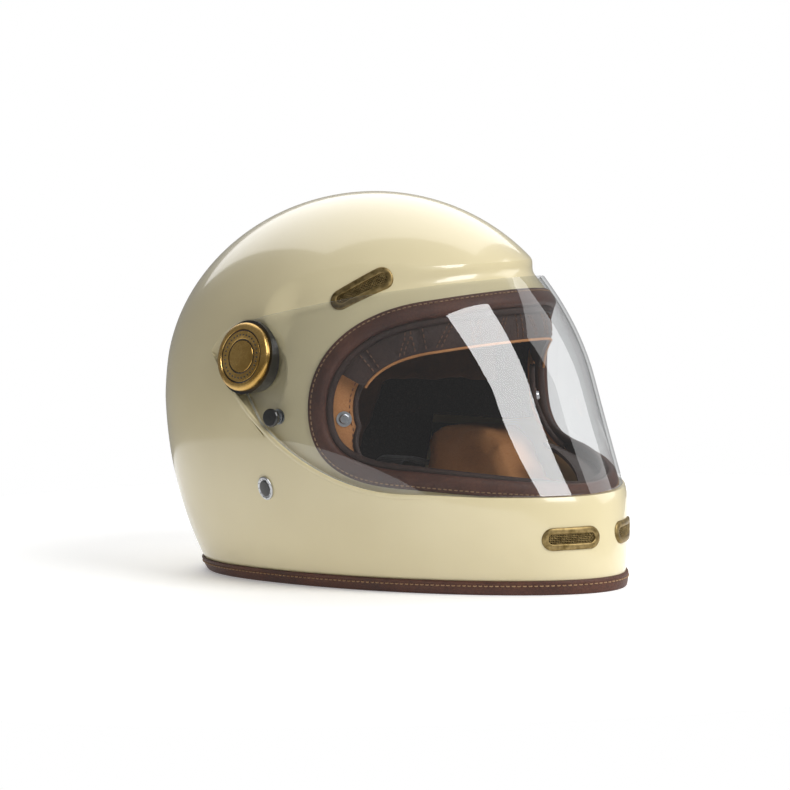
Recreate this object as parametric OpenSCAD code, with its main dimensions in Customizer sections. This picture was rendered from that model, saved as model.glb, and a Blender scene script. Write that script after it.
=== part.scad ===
// Retro full-face motorcycle helmet with a clear flip-up visor.
// The helmet stands on its rim: +Z is up, -Y is the face, +X is the wearer's left.
// The origin is the middle of the footprint, on the surface that the rim stands on.

/* [Shell] */
// Half of the shell's greatest width
half_width = 125; // [120:1:130]
// Half of the width at the rim
rim_half_width = 90; // [88:0.5:93]
// Reach of the shell behind the visor pivots
rear_reach = 140; // [136:1:145]
// Reach of the rim behind the visor pivots
rim_rear_reach = 123; // [120:1:126]
// Reach of the brow dome in front of the visor pivots
dome_reach = 151; // [149:0.5:154]
// Reach of the chin bar at its top edge
chin_reach = 196; // [194:0.1:199]
// Reach of the chin bar at the rim
chin_rim_reach = 201; // [199:0.5:203]
// Height of the crown
crown_height = 254.5; // [251:0.5:258]
// Thickness of the moulded shell
shell_wall = 3.2; // [2.8:0.1:3.6]
// Thickness of the foam liner
foam_wall = 27; // [24:1:29]
// Height of the leather trim round the rim
rim_trim_height = 9.5; // [8:0.5:11]

/* [Visor] */
// Height of the visor pivots
pivot_height = 152; // [150:0.5:154]
// Thickness of the clear visor
visor_wall = 2.2; // [2:0.1:2.4]
// Depth of the visor's face below the shell's face
visor_inset = 1.2; // [1:0.1:1.4]
// Depth of the recess that the visor lies in
recess_depth = 5.6; // [5.4:0.1:6]
// Radius of the visor's ears
ear_radius = 23.2; // [22.8:0.1:23.4]
// Distance from the middle plane to the outside of the ears
ear_face = 116.2; // [116:0.1:116.6]

/* [Brass pivot caps] */
// Radius of the caps
cap_radius = 22.4; // [21.5:0.1:23]
// Thickness of the caps
cap_thickness = 5; // [4.5:0.1:5.5]
// Angle by which the caps face upwards
cap_tilt = 12; // [11:0.5:13]

/* [Vents] */
// Length of the forehead vent frames
brow_vent_length = 44; // [41:1:46]
// Length of the chin vent frames
chin_vent_length = 40; // [37:1:42]
// Height of all four vent frames
vent_height = 14.6; // [13.5:0.1:15.5]

/* [Chin strap] */
// Width of the strap webbing
strap_width = 24; // [22:0.5:26]
// Thickness of the strap webbing
strap_thickness = 2; // [1.8:0.1:2.2]
// Diameter of the wire of the D-rings
ring_wire = 4; // [3.6:0.1:4]

/* [Hidden] */

cream = "#e8e2cd";
foam_black = "#2b2b2d";
brown_leather = "#4a2e27";
dark_leather = "#35221d";
tan_leather = "#c98a55";
brass = "#b8862f";
old_brass = "#8d7440";
black = "#141414";
steel = "#b9bcc0";

left = 1;
right = -1;
pivot_y = 31.3;           // the pivots lie this far behind the middle of the footprint

// Heights at which the side, rear and front profiles are widest, and how they curve
width_level = 118;
rear_level = 142;
dome_level = 130.5;
chin_level = 59;
chin_fade_level = 194;
width_power = 2.2;
rear_power = 2.1;
// How far the horizontal sections depart from half ellipses: slimmer in front, fuller behind
nose_taper = -0.08;
rear_fullness = 0.28;
crown_fullness = 0.08;
fine = 64;                // sides of the shell's horizontal sections
fine_rows = 21;
visor_rows = 17;
coarse = 44;              // sides of the hidden liners' sections
coarse_rows = 14;
open_front = -260;        // how far cuts through the open front are carried

// ---- the egg-shaped surface that every shell, liner and trim follows ----

function clamp01(t) = min(max(t, 0), 1);
function smooth(t) = let (u = clamp01(t)) u * u * (3 - 2 * u);
function unit(v) = v / norm(v);
function arch(reach, level, z, inset) =
    (reach - inset) * sqrt(max(0, 1 - pow(max(z - level, 0) / (crown_height - inset - level), 2)));
function sag(reach, rim, level, power, z) =
    (reach - rim) * pow(max(level - z, 0) / level, power);
function width_at(z, inset) =
    arch(half_width, width_level, z, inset)
    - sag(half_width, rim_half_width, width_level, width_power, z);
function rear_at(z, inset) =
    arch(rear_reach, rear_level, z, inset)
    - sag(rear_reach, rim_rear_reach, rear_level, rear_power, z);
function front_at(z, inset) =
    z > chin_level
    ? arch(dome_reach, dome_level, z, inset) + (chin_reach - dome_reach)
      * pow(max(chin_fade_level - z, 0) / (chin_fade_level - chin_level), 1.5)
    : chin_rim_reach - inset + (chin_reach - chin_rim_reach) * pow(z / chin_level, 2);
function fullness(y, z) =
    y < 0 ? nose_taper
    : rear_fullness + (crown_fullness - rear_fullness) * clamp01((z - 120) / (crown_height - 120));
function reach_at(y, z, inset) = y < 0 ? front_at(z, inset) : rear_at(z, inset);

// Point of the surface at angle a of the section at height z: 0 is +X and 90 is the rear
function egg_point(a, z, inset = 0) =
    let (c = cos(a), s = sin(a), level = max(z, 0))
    [width_at(level, inset) * c * (1 + fullness(s, level) * s * s), reach_at(s, level, inset) * s, z];
function egg_normal(a, z) =
    unit(cross(egg_point(a + 0.5, z) - egg_point(a - 0.5, z),
               egg_point(a, z + 0.5) - egg_point(a, z - 0.5)));
// Angle and height of the surface at a place [y, z] of the side view, on the left or the right
function spot(q, side = 1) =
    let (a = asin(q.x / reach_at(q.x, q.y, 0))) [side > 0 ? a : 180 - a, q.y];
function spot_point(s) = egg_point(s[0], s[1]);
function spot_normal(s) = egg_normal(s[0], s[1]);

// Closed solid inside the surface, from z0 up to the crown; drop lowers points further
module egg(inset, z0 = -2, cols = fine, rows = fine_rows, drop = function (y, z) 0) {
    top = crown_height - inset;
    heights = [for (i = [0:rows - 1]) z0 + (top - z0) * sin(90 * i / rows)];
    points = [for (z = heights, j = [0:cols - 1])
              let (base = egg_point(360 * j / cols, z, inset))
              egg_point(360 * j / cols, z, inset + drop(base.y, z))];
    sides = [for (i = [0:rows - 2], j = [0:cols - 1])
             let (k = (j + 1) % cols, a = i * cols, b = a + cols)
             each [[a + j, b + j, b + k], [a + j, b + k, a + k]]];
    cap = [for (j = [0:cols - 1])
           [(rows - 1) * cols + j, rows * cols, (rows - 1) * cols + (j + 1) % cols]];
    polyhedron(concat(points, [[0, 0, top]]),
               concat([[for (j = [0:cols - 1]) j]], sides, cap), convexity = 8);
}

// Closed solid inside the surface between two heights
module egg_band(inset, z0, z1, cols = fine, rows = 1) {
    points = [for (i = [0:rows], j = [0:cols - 1])
              egg_point(360 * j / cols, z0 + (z1 - z0) * i / rows, inset)];
    sides = [for (i = [0:rows - 1], j = [0:cols - 1])
             let (k = (j + 1) % cols, a = i * cols, b = a + cols)
             each [[a + j, b + j, b + k], [a + j, b + k, a + k]]];
    polyhedron(points, concat([[for (j = [0:cols - 1]) j]], sides,
               [[for (j = [cols - 1:-1:0]) rows * cols + j]]), convexity = 6);
}

// Skin through a list of equal rings, open with end faces or closed into a loop
module loft(rings, loop = false) {
    n = len(rings);
    m = len(rings[0]);
    last = loop ? n - 1 : n - 2;
    sides = [for (i = [0:last], j = [0:m - 1])
             let (k = (j + 1) % m, a = i * m, b = ((i + 1) % n) * m)
             each [[a + j, b + j, b + k], [a + j, b + k, a + k]]];
    ends = loop ? [] : [[for (j = [0:m - 1]) j], [for (j = [m - 1:-1:0]) (n - 1) * m + j]];
    polyhedron([for (r = rings) each r], concat(sides, ends), convexity = 8);
}

// Everything is drawn about the pivots' axis and then moved back over the footprint
module placed() translate([0, pivot_y, 0]) children();
// One mesh out of solids that follow the egg
module meshed() resize([0, 0, 0]) children();
// Solid across the whole width with an outline given as [y, z] points
module across(outline) {
    rotate([90, 0, 90]) linear_extrude(320, center = true) polygon(outline);
}
// Stands children on a point p with their +Z along direction n
module stand(p, n) {
    translate(p) rotate([0, acos(n.z), atan2(n.y, n.x)]) children();
}
// Turns children round the pivots' axis frame: their +Z becomes the side's outward X
module at_pivot(side, x) translate([side * x, 0, pivot_height]) rotate([0, side * 90, 0]) children();

function bezier(a, b, c, d, t) =
    let (s = 1 - t) s * s * s * a + 3 * s * s * t * b + 3 * s * t * t * c + t * t * t * d;

// ---- visor outline in the side view ----

ear_low_angle = -44;      // where the lower edge leaves the ear
ear_top_angle = 75.5;     // where the upper edge leaves the ear
function ear_point(r, a) = [r * cos(a), pivot_height + r * sin(a)];
function visor_top(y) = let (s = 5.8 - y) pivot_height + 22.3 + 0.2684 * s - 0.00057 * s * s;
function ear_arc(grow) =
    [for (i = [0:12]) ear_point(ear_radius + grow,
                                ear_low_angle + (ear_top_angle - ear_low_angle) * i / 12)];
// The lower edge, from the open front back to the ear
function low_edge(grow) =
    let (low = ear_point(ear_radius + grow, ear_low_angle), low_steps = 14)
    concat([[open_front, 57.5 - grow], [-194, 60 - grow]],
           [for (i = [low_steps:-1:1])
            bezier(low, low + [-31.7, -32.6], [-55 + grow / 2, 67 - grow], [-110, 65.6 - grow],
                   i / low_steps)]);
// Outline grown by an amount, with the open front carried past the chin
function visor_outline(grow) =
    concat(ear_arc(grow), [for (y = [-12:-12:-132]) [y, visor_top(y) + grow]],
           [[open_front, visor_top(-132) + grow]], low_edge(grow));
// The recess reaches further up than the visor, where its floor runs out into the shell's face
function recess_outline(grow, top) =
    concat(ear_arc(grow), [[6, 190 + top], [-12, 203 + top], [-60, 214 + top],
                           [open_front, 217 + top]], low_edge(grow));

// ---- eyeport loop: points on the surface from the brow round to the chin ----

// The loop is a list of [angle, height] spots; its front runs are straight in the side view
function eye_top(y) = 190 + (-105 - y) * 0.2;
function eye_low(y) = 68.5 - (-112 - y) * 0.085;
function on_front(a, z, low, n) =
    let (y = front_at(z, 0) * sin(a))
    n == 0 ? [a, z] : on_front(a, low ? eye_low(y) : eye_top(y), low, n - 1);
eye_back = [-46.9, 119.3];
brow_corner = [-105, 190];
jaw_corner = [-112, 68.5];
brow_angle = spot(brow_corner)[0];
jaw_angle = spot(jaw_corner)[0];
brow_steps = 7;
side_steps = 9;
eye_half = concat(
    [for (i = [0:brow_steps - 1])
     on_front(-90 + (brow_angle + 90) * i / brow_steps, brow_corner.y, false, 5)],
    [for (i = [side_steps:-1:1])
     spot(bezier(eye_back, [-46.9, 156], [-70, 184], brow_corner, i / side_steps))],
    [for (i = [0:side_steps - 1])
     spot(bezier(eye_back, [-46.9, 89], [-62, 70], jaw_corner, i / side_steps))],
    [for (i = [brow_steps:-1:0])
     on_front(-90 + (jaw_angle + 90) * i / brow_steps, jaw_corner.y, true, 5)]);
eye_count = len(eye_half);
// Whole loop: down the left side, then up the right side
eye_loop = concat(eye_half,
                  [for (i = [eye_count - 2:-1:1]) [180 - eye_half[i][0], eye_half[i][1]]]);
loop_count = len(eye_loop);
function eye_at(i) = eye_loop[(i + loop_count) % loop_count];
// A place given as distance into the opening and height off the surface, bent to follow it
function eye_place(i, into, off) =
    let (s = eye_at(i), n = spot_normal(s),
         t = unit(spot_point(eye_at(i + 1)) - spot_point(eye_at(i - 1))), b = unit(cross(t, n)),
         depth = (spot_point(s) - egg_point(s[0], s[1], 10)) * n / 10)
    spot_point(s) + into * b + (off * depth - into * into / 280) * n;
function eye_ring(i, section) = [for (q = section) eye_place(i, q.x, q.y)];
// Side-view outline of the opening at a distance inside the trim's outer edge
function eye_outline(into) =
    concat([for (i = [0:eye_count - 1]) let (p = eye_place(i, into, 0)) [p.y, p.z]],
           [[open_front, eye_place(eye_count - 1, into, 0).z], [open_front, eye_place(0, into, 0).z]]);

trim_flange = 9.3;        // leather on the shell's face, beside the opening
trim_roll = 11.3;         // reach of the leather's rolled edge

// ---- shell ----

// Cone that gives the visor's ears a flat floor and room to turn
module pivot_dish(x, r, margin = 30) {
    for (side = [left, right])
        at_pivot(side, x) cylinder(h = margin, r1 = r, r2 = r + 2.5 * margin, $fn = 64);
}
module above_ear_line() {
    low = ear_point(ear_radius + 2, ear_low_angle);
    across([low + [60, 62], low - [190, 196], [open_front, -100], [open_front, 320], [200, 320]]);
}
// How deep the recess is: its floor rises gently above the visor's top edge and behind the ears
function soft_drop(y, z) =
    let (ramp = 13 + 13 * smooth((y + 110) / 60),
         up = smooth((z - visor_top(max(y, -132)) - 1) / ramp),
         back = smooth((y + 28) / 28) * smooth((z - 145) / 20))
    recess_depth * (1 - up) * (1 - back);
function recess_drop(y, z) =
    let (d = soft_drop(y, z)) d - 0.6 * (1 - d / recess_depth);
// The recess in the shell's face
module visor_recess() {
    difference() {
        across(recess_outline(0.8, 14));
        egg(0, drop = function (y, z) recess_drop(y, z));
    }
    pivot_pocket();
}
module pivot_pocket() {
    floor_x = ear_face - visor_wall - 0.8;
    intersection() {
        pivot_dish(floor_x, 25.9);
        above_ear_line();
    }
    for (side = [left, right]) at_pivot(side, floor_x) cylinder(h = 30, r = ear_radius + 1, $fn = 64);
}
// The hollow inside the shell; gap makes it smaller for the foam
module shell_hollow(gap, cols = fine, rows = fine_rows) {
    difference() {
        union() {
            difference() {
                egg(shell_wall + gap, cols = cols, rows = rows);
                across(recess_outline(0.8 + shell_wall + gap, gap));
            }
            egg(recess_depth + shell_wall + gap, cols = cols, rows = rows);
        }
        pivot_dish(ear_face - visor_wall - 0.8 - shell_wall - gap, 27.5 + gap);
    }
}
// The hole for the eyeport, with its edge square to the surface all the way round
module eye_cut() {
    section = [[trim_flange, -16], [trim_flange, 6], [trim_flange + 14, 6], [trim_flange + 14, -16]];
    loft([for (i = [0:loop_count - 1]) eye_ring(i, section)], loop = true);
    across(eye_outline(trim_flange + 8));
}
module vent_opening(vent, length) vent_prism(vent, length - 7, vent_height - 5.2, 30);
module outer_shell() {
    color(cream) placed() meshed() difference() {
        egg(0, z0 = 2.2);
        visor_recess();
        shell_hollow(0);
        eye_cut();
        for (side = [left, right]) {
            vent_opening(brow_vent(side), brow_vent_length);
            vent_opening(chin_vent(side), chin_vent_length);
            at_pivot(side, 100) cylinder(h = 20, r = 5.1, $fn = 48);
        }
        magnet_seat(5.15, 1.7);
    }
}

// ---- foam liners ----

// Room for the linings round the opening
module eye_clearance() {
    section = [[-0.35, -45], [-0.35, -9], [31, -9], [31, -45]];
    loft([for (i = [0:loop_count - 1]) eye_ring(i, section)], loop = true);
}

module foam_crown_liner() {
    hollow = shell_wall + foam_wall + recess_depth;
    color(foam_black) placed() meshed() difference() {
        shell_hollow(0.45, coarse, coarse_rows);
        egg(hollow, cols = coarse, rows = coarse_rows);
        across(eye_outline(-0.6));
        across([[open_front, -10], [open_front, 96], [52, 96], [56, 34], [170, 34], [170, -10]]);
        eye_clearance();
        for (side = [left, right]) {
            at_pivot(side, 103) cylinder(h = 20, r = 9, $fn = 32);
            vent_prism(brow_vent(side), brow_vent_length - 2, vent_height - 1, 14);
        }
    }
}
module foam_chin_liner() {
    color(foam_black) placed() meshed() difference() {
        intersection() {
            egg_band(shell_wall + 0.35, 12.5, 50, coarse, 2);
            translate([-150, -230, 0]) cube([300, 148, 80]);
        }
        egg_band(shell_wall + 22, 5, 60, coarse, 2);
        eye_clearance();
        for (side = [left, right])
            vent_prism(chin_vent(side), chin_vent_length - 2, vent_height - 1, 14);
    }
}
module crown_comfort_liner() {
    skin = shell_wall + foam_wall + recess_depth + 0.4;
    color(dark_leather) placed() meshed() difference() {
        egg(skin, cols = coarse, rows = coarse_rows);
        egg(skin + 8, cols = coarse, rows = coarse_rows);
        across(eye_outline(-4));
        eye_clearance();
        across([[open_front, -10], [open_front, 120], [60, 120], [75, 60], [170, 60], [170, -10]]);
    }
}

// ---- leather linings round the opening ----

// A panel inside the opening over the loop's points first to last, sloping inwards from the
// trim's roll to its free edge, which reaches that far into the opening and that deep
module jamb(first, last, reach, depth, leather) {
    section = [[2.5, -12.5 - leather], [4.5, -12], [reach, -depth], [reach - 1.5, -depth - leather]];
    loft([for (i = [first:last]) eye_ring(i, section)]);
}
brow_end = brow_steps + 6;
jaw_start = brow_steps + 2 * side_steps - 1;
side_reach = 23;
side_depth = 25;
module brow_lining() {
    color(dark_leather) placed() jamb(-brow_end, brow_end, 29, 19, 6);
}
module chin_lining() {
    color(dark_leather) placed() jamb(jaw_start, loop_count - jaw_start, 10, 31, 4);
}
module side_lining(side) {
    color(tan_leather) placed() mirror([side == left ? 0 : 1, 0, 0])
        jamb(brow_end, jaw_start, side_reach, side_depth, 4);
}
module side_lining_left() side_lining(left);
module side_lining_right() side_lining(right);

snap_index = brow_steps + side_steps + 1;
module lining_snaps() {
    // Press studs on the side linings
    foot = eye_place(snap_index, side_reach - 6, -side_depth + 5);
    along = eye_place(snap_index, side_reach, -side_depth) - eye_place(snap_index, 4.5, -12);
    run = spot_point(eye_at(snap_index + 1)) - spot_point(eye_at(snap_index - 1));
    ahead = unit(cross(along, run));
    color(steel) placed() for (side = [left, right]) mirror([side == left ? 0 : 1, 0, 0])
        stand(foot, ahead) {
            cylinder(h = 1, r = 5, $fn = 48);
            translate([0, 0, 1]) cylinder(h = 1.6, r1 = 3.4, r2 = 2.6, $fn = 48);
        }
}

// ---- pads ----

cheek_inset = recess_depth + shell_wall + 0.7;
module cheek_pad(side) {
    outline = [[24, 24], [24, 82], [16, 91], [-30, 91], [-46, 84], [-58, 70], [-66, 62],
               [-78, 54], [-80, 26], [-70, 15], [12, 15]];
    color(tan_leather) placed() meshed() intersection() {
        difference() {
            egg_band(cheek_inset, 10, 96, coarse, 5);
            egg_band(cheek_inset + 38, 5, 100, coarse, 5);
            eye_clearance();
        }
        across(outline);
        translate([side == left ? 0 : -200, -200, 0]) cube([200, 400, 200]);
    }
}
module cheek_pad_left() cheek_pad(left);
module cheek_pad_right() cheek_pad(right);

module neck_roll() {
    // Padded roll round the back of the neck opening
    inset = shell_wall + 16;
    sides = 12;
    steps = 26;
    color(dark_leather) placed() loft([for (i = [0:steps])
        let (a = 28 + 124 * i / steps, c = egg_point(a, 22, inset), n = egg_normal(a, 22),
             out = unit([n.x, n.y, 0]),
             swell = 0.55 + 0.45 * sqrt(sin(180 * (i + 0.6) / (steps + 1.2))))
        [for (j = [0:sides - 1])
         c + out * 10.5 * swell * cos(360 * j / sides)
         + [0, 0, 1] * (9 * swell * sin(360 * j / sides) - 1)]]);
}

// ---- leather trims ----

module eyeport_trim() {
    face = -recess_depth;
    back = face - shell_wall;
    section = [[0, face + 0.45], [0, face + 1], [0.9, face + 1.5], [trim_roll - 1.2, face + 1.5],
               [trim_roll, face + 0.4], [trim_roll, back - 0.6], [trim_roll - 1, back - 1.6],
               [3, back - 1.6], [3, back - 0.45], [trim_flange + 0.6, back - 0.45],
               [trim_flange + 0.6, face + 0.45]];
    color(brown_leather) placed() loft([for (i = [0:loop_count - 1]) eye_ring(i, section)], loop = true);
}
module rim_trim() {
    // Section as [inset, height]: an outer flange, a flat foot and a lower inner flange
    leather = 1.6;
    top = rim_trim_height;
    inner = shell_wall + 0.35;
    section = [[-leather + 0.5, 0], [-leather, 0.8], [-leather, top - 0.6], [-leather + 0.6, top],
               [-0.05, top], [-0.05, 2.1], [inner, 2.1], [inner, top - 1], [inner + leather, top - 1],
               [inner + leather, 0]];
    color(brown_leather) placed()
        loft([for (i = [0:fine - 1]) [for (q = section) egg_point(-360 * i / fine, q.y, q.x)]],
             loop = true);
}

// ---- visor ----

visor_face = visor_inset;
visor_back = visor_inset + visor_wall;
// Solid under one face of the visor: the egg, lowered and raised to a flat plane at the ears
module visor_block(inset, plane, shift, z0) {
    shoulder = 29.5 - shift;
    difference() {
        union() {
            egg(inset, z0 = z0, rows = visor_rows);
            for (side = [left, right]) at_pivot(side, plane - 16)
                cylinder(h = 16, r1 = shoulder + 16 / 0.7, r2 = shoulder, $fn = 64);
        }
        pivot_dish(plane, 25.5 + shift);
    }
}
module visor() {
    color("#dfe6ea", 0.45) placed() meshed() difference() {
        intersection() {
            difference() {
                visor_block(visor_face, ear_face, 0, 40);
                visor_block(visor_back, ear_face - visor_wall, 0.5, 40 - visor_wall);
            }
            across(visor_outline(0));
        }
        for (side = [left, right]) at_pivot(side, 100) cylinder(h = 30, r = eyelet_radius + 0.05, $fn = 64);
        knob_axis() translate([0, 0, -8]) cylinder(h = 16, r = 2.6, $fn = 32);
    }
}
eyelet_radius = 11.5;
bush_radius = 8;
module visor_eyelet(side) {
    color(steel) placed() at_pivot(side, ear_face - visor_wall) difference() {
        cylinder(h = visor_wall, r = eyelet_radius, $fn = 96);
        translate([0, 0, -1]) cylinder(h = visor_wall + 2, r = bush_radius + 0.06, $fn = 96);
    }
}
module visor_eyelet_left() visor_eyelet(left);
module visor_eyelet_right() visor_eyelet(right);

// The lift knob, its rivet and the magnet lie on one line through the visor's lower corner
module knob_axis() {
    place = spot([-23, 113.7], right);
    stand(spot_point(place), spot_normal(place)) children();
}
module lift_knob() {
    color(black) placed() knob_axis() translate([0, 0, -visor_face + 0.05]) {
        rotate_extrude($fn = 64) polygon(concat([[0, 0], [4.6, 0], [4.8, 1.2]],
            [for (a = [-20:14:76]) [4.2 + 1.9 * cos(a), 3.4 + 1.9 * sin(a)]], [[0, 5.3]]));
    }
}
module knob_rivet() {
    color(steel) placed() knob_axis() translate([0, 0, -visor_back]) {
        translate([0, 0, -1.4]) cylinder(h = 0.7, r = 3.8, $fn = 48);
        translate([0, 0, -0.7]) cylinder(h = visor_wall + 0.7, r = 2.5, $fn = 48);
    }
}
module magnet_seat(r, depth) {
    knob_axis() translate([0, 0, -recess_depth - depth]) cylinder(h = depth + 1, r = r, $fn = 48);
}
module catch_magnet() {
    color(steel) placed() knob_axis()
        translate([0, 0, -recess_depth - 1.6]) cylinder(h = 1.5, r = 5, $fn = 48);
}

// ---- pivots ----

floor_x = ear_face - visor_wall - 0.8;
seat_x = ear_face + 0.7;
cap_seat_x = 124;
module pivot_bush(side) {
    // Sleeve that the visor's eyelet turns on, with a tail through the shell
    color(black) placed() at_pivot(side, 0) difference() {
        union() {
            translate([0, 0, floor_x]) cylinder(h = seat_x - floor_x, r = bush_radius, $fn = 96);
            translate([0, 0, floor_x - shell_wall]) cylinder(h = shell_wall + 1, r = 5, $fn = 64);
        }
        translate([0, 0, 100]) cylinder(h = 30, r = 2.3, $fn = 48);
    }
}
module pivot_bush_left() pivot_bush(left);
module pivot_bush_right() pivot_bush(right);
module pivot_insert(side) {
    // Threaded flange nut behind the shell
    color(brass) placed() at_pivot(side, floor_x - shell_wall - 3.3) difference() {
        cylinder(h = 2.95, r = 7, $fn = 6);
        translate([0, 0, -1]) cylinder(h = 5, r = 2.05, $fn = 48);
    }
}
module pivot_insert_left() pivot_insert(left);
module pivot_insert_right() pivot_insert(right);
module pivot_screw(side) {
    color(steel) placed() at_pivot(side, 0) {
        translate([0, 0, floor_x - shell_wall - 3.5])
            cylinder(h = 119 - floor_x + shell_wall + 3.6, r = 2, $fn = 48);
        translate([0, 0, 119.05]) difference() {
            cylinder(h = 1.9, r = 3.8, $fn = 64);
            translate([0, 0, 0.9]) cylinder(h = 2, r = 1.5, $fn = 6);
        }
    }
}
module pivot_screw_left() pivot_screw(left);
module pivot_screw_right() pivot_screw(right);
// Tilted frame of the cap, with its origin on the middle of the base ring's slanting face
module at_cap(side) {
    translate([side * cap_seat_x, 0, pivot_height]) rotate([0, side * (90 - cap_tilt), 0]) children();
}
module base_ring(side) {
    color(black) placed() difference() {
        at_pivot(side, seat_x) cylinder(h = 20, r = ear_radius + 0.5, $fn = 96);
        at_cap(side) translate([-40, -40, 0]) cube([80, 80, 40]);
        at_cap(side) translate([0, 0, -2.4]) cylinder(h = 3, r = 10, $fn = 64);
        at_pivot(side, 119) cylinder(h = 20, r = 4.2, $fn = 64);
        at_pivot(side, 110) cylinder(h = 20, r = 2.3, $fn = 48);
    }
}
module base_ring_left() base_ring(left);
module base_ring_right() base_ring(right);
module pivot_cap(side) {
    // Turned brass cover with a bevelled rim, a raised ring between two grooves and a flat boss
    t = cap_thickness;
    color(brass) placed() at_cap(side) {
        rotate_extrude($fn = 128) polygon([
            [0, 0.02], [cap_radius - 0.6, 0.02], [cap_radius, 0.8], [cap_radius, t - 2.2],
            [cap_radius - 1.4, t - 0.5], [cap_radius - 4.4, t], [17.6, t - 0.1], [17.4, t - 0.9],
            [16.8, t - 0.9], [16.6, t - 0.4], [11.6, t - 0.4], [11.4, t - 0.9], [10.8, t - 0.9],
            [10.6, t - 0.3], [0, t - 0.3]]);
        translate([0, 0, -2]) cylinder(h = 2.1, r = 9.6, $fn = 64);
    }
}
module pivot_cap_left() pivot_cap(left);
module pivot_cap_right() pivot_cap(right);

// ---- vents ----

module stadium(length, height) {
    r = height / 2;
    square([length - height, height], center = true);
    for (s = [-1, 1]) translate([s * (length - height) / 2, 0]) circle(r, $fn = 24);
}
// A vent is its spot on the surface and the direction of its long side
function brow_vent(side) = [spot([-66, 198], side), [-side * 28, -27.5, 17], true];
function chin_vent(side) = [spot([-192, 36], side), [side * 33, 19, 0], false];
function vent_drop(vent) =
    let (p = spot_point(vent[0])) vent[2] ? soft_drop(p.y, p.z) : 0;
// Places children in the vent's own frame: X along it, Z out of the shell
module at_vent(vent) {
    p = spot_point(vent[0]);
    n = spot_normal(vent[0]);
    u = unit(vent[1] - (vent[1] * n) * n);
    v = cross(n, u);
    multmatrix([[u.x, v.x, n.x, p.x], [u.y, v.y, n.y, p.y], [u.z, v.z, n.z, p.z], [0, 0, 0, 1]])
        children();
}
module vent_prism(vent, length, height, reach) {
    at_vent(vent) linear_extrude(reach, center = true) stadium(length, height);
}
// Frame: a flange on the shell's face and a sleeve into its wall
module vent_frame(vent, length) {
    sunk = vent[2] ? function (y, z) max(0, recess_drop(y, z)) : function (y, z) 0;
    color(old_brass) placed() meshed() difference() {
        intersection() {
            egg(-1.6, z0 = 5, drop = sunk);
            union() {
                difference() {
                    vent_prism(vent, length, vent_height, 30);
                    intersection() {
                        egg(-0.08, z0 = 2.2);
                        if (vent[2]) egg(-0.05, drop = sunk);
                    }
                }
                at_vent(vent) translate([0, 0, -vent_drop(vent) - 2.9]) linear_extrude(12)
                    stadium(length - 7.3, vent_height - 5.5);
            }
        }
        vent_prism(vent, length - 10, vent_height - 8, 40);
    }
}
module brow_vent_frame_left() vent_frame(brow_vent(left), brow_vent_length);
module brow_vent_frame_right() vent_frame(brow_vent(right), brow_vent_length);
module chin_vent_frame_left() vent_frame(chin_vent(left), chin_vent_length);
module chin_vent_frame_right() vent_frame(chin_vent(right), chin_vent_length);

// Grille inside the frame, a thin plate with a row of slots
module vent_mesh(vent, length) {
    slots = 6;
    pitch = (length - 14) / slots;
    color(old_brass) placed() at_vent(vent) translate([0, 0, -vent_drop(vent) - 2.4])
        linear_extrude(0.8) difference() {
            stadium(length - 10.1, vent_height - 8.1);
            for (i = [0:slots - 1]) translate([(i - (slots - 1) / 2) * pitch, 0])
                square([pitch - 1.4, vent_height - 10.6], center = true);
        }
}
module brow_vent_mesh_left() vent_mesh(brow_vent(left), brow_vent_length);
module brow_vent_mesh_right() vent_mesh(brow_vent(right), brow_vent_length);
module chin_vent_mesh_left() vent_mesh(chin_vent(left), chin_vent_length);
module chin_vent_mesh_right() vent_mesh(chin_vent(right), chin_vent_length);

// ---- badge ----

module side_badge() {
    // Plain oval plate on the wearer's right, below the visor
    place = spot([-10.7, 66.8], right);
    color(old_brass) placed() stand(spot_point(place), spot_normal(place))
        translate([0, 0, 0.3]) scale([1.35, 1, 1]) cylinder(h = 1.1, r = 6, $fn = 64);
}

// ---- chin strap ----

strap_y = 38;             // middle of the webbing, behind the cheek pads
hang_x = 50;              // distance of the hanging webbing from the middle plane
loop_z = 40;              // height of the D-rings' pivot
loop_hole = 4.5;          // radius of the strap's sewn loop
ring_depth = 22;
anchor_height = 78;
// Inside face of the shell at the rivet, and at the webbing's lower rear corner
shell_x = spot_point(spot([strap_y, anchor_height])).x - shell_wall - 0.6;
anchor_x = spot_point(spot([strap_y + strap_width / 2, anchor_height - 10])).x - shell_wall - 0.6;

// Webbing that follows a path of [x, z] points
module webbing(path) {
    half = strap_thickness / 2;
    n = len(path);
    normals = [for (i = [0:n - 1])
               let (t = unit(path[min(i + 1, n - 1)] - path[max(i - 1, 0)])) [-t.y, t.x]];
    outline = concat([for (i = [0:n - 1]) path[i] + half * normals[i]],
                     [for (i = [n - 1:-1:0]) path[i] - half * normals[i]]);
    translate([0, strap_y + strap_width / 2, 0]) rotate([90, 0, 0])
        linear_extrude(strap_width) polygon(outline);
}
function anchor_path(side) = concat(
    [[side * anchor_mid, anchor_height + 9], [side * anchor_mid, anchor_height - 9]],
    [for (t = [0.15:0.1:0.95])
     let (q = bezier([anchor_mid, anchor_height - 12], [anchor_mid, anchor_height - 34],
                     [hang_x, 84], [hang_x, 60], t)) [side * q.x, q.y]]);
anchor_mid = anchor_x - strap_thickness / 2;
module rivet_hole(side) {
    translate([side * anchor_mid, strap_y, anchor_height]) rotate([0, 90, 0])
        cylinder(h = 10, r = 2.6, center = true, $fn = 32);
}
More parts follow.
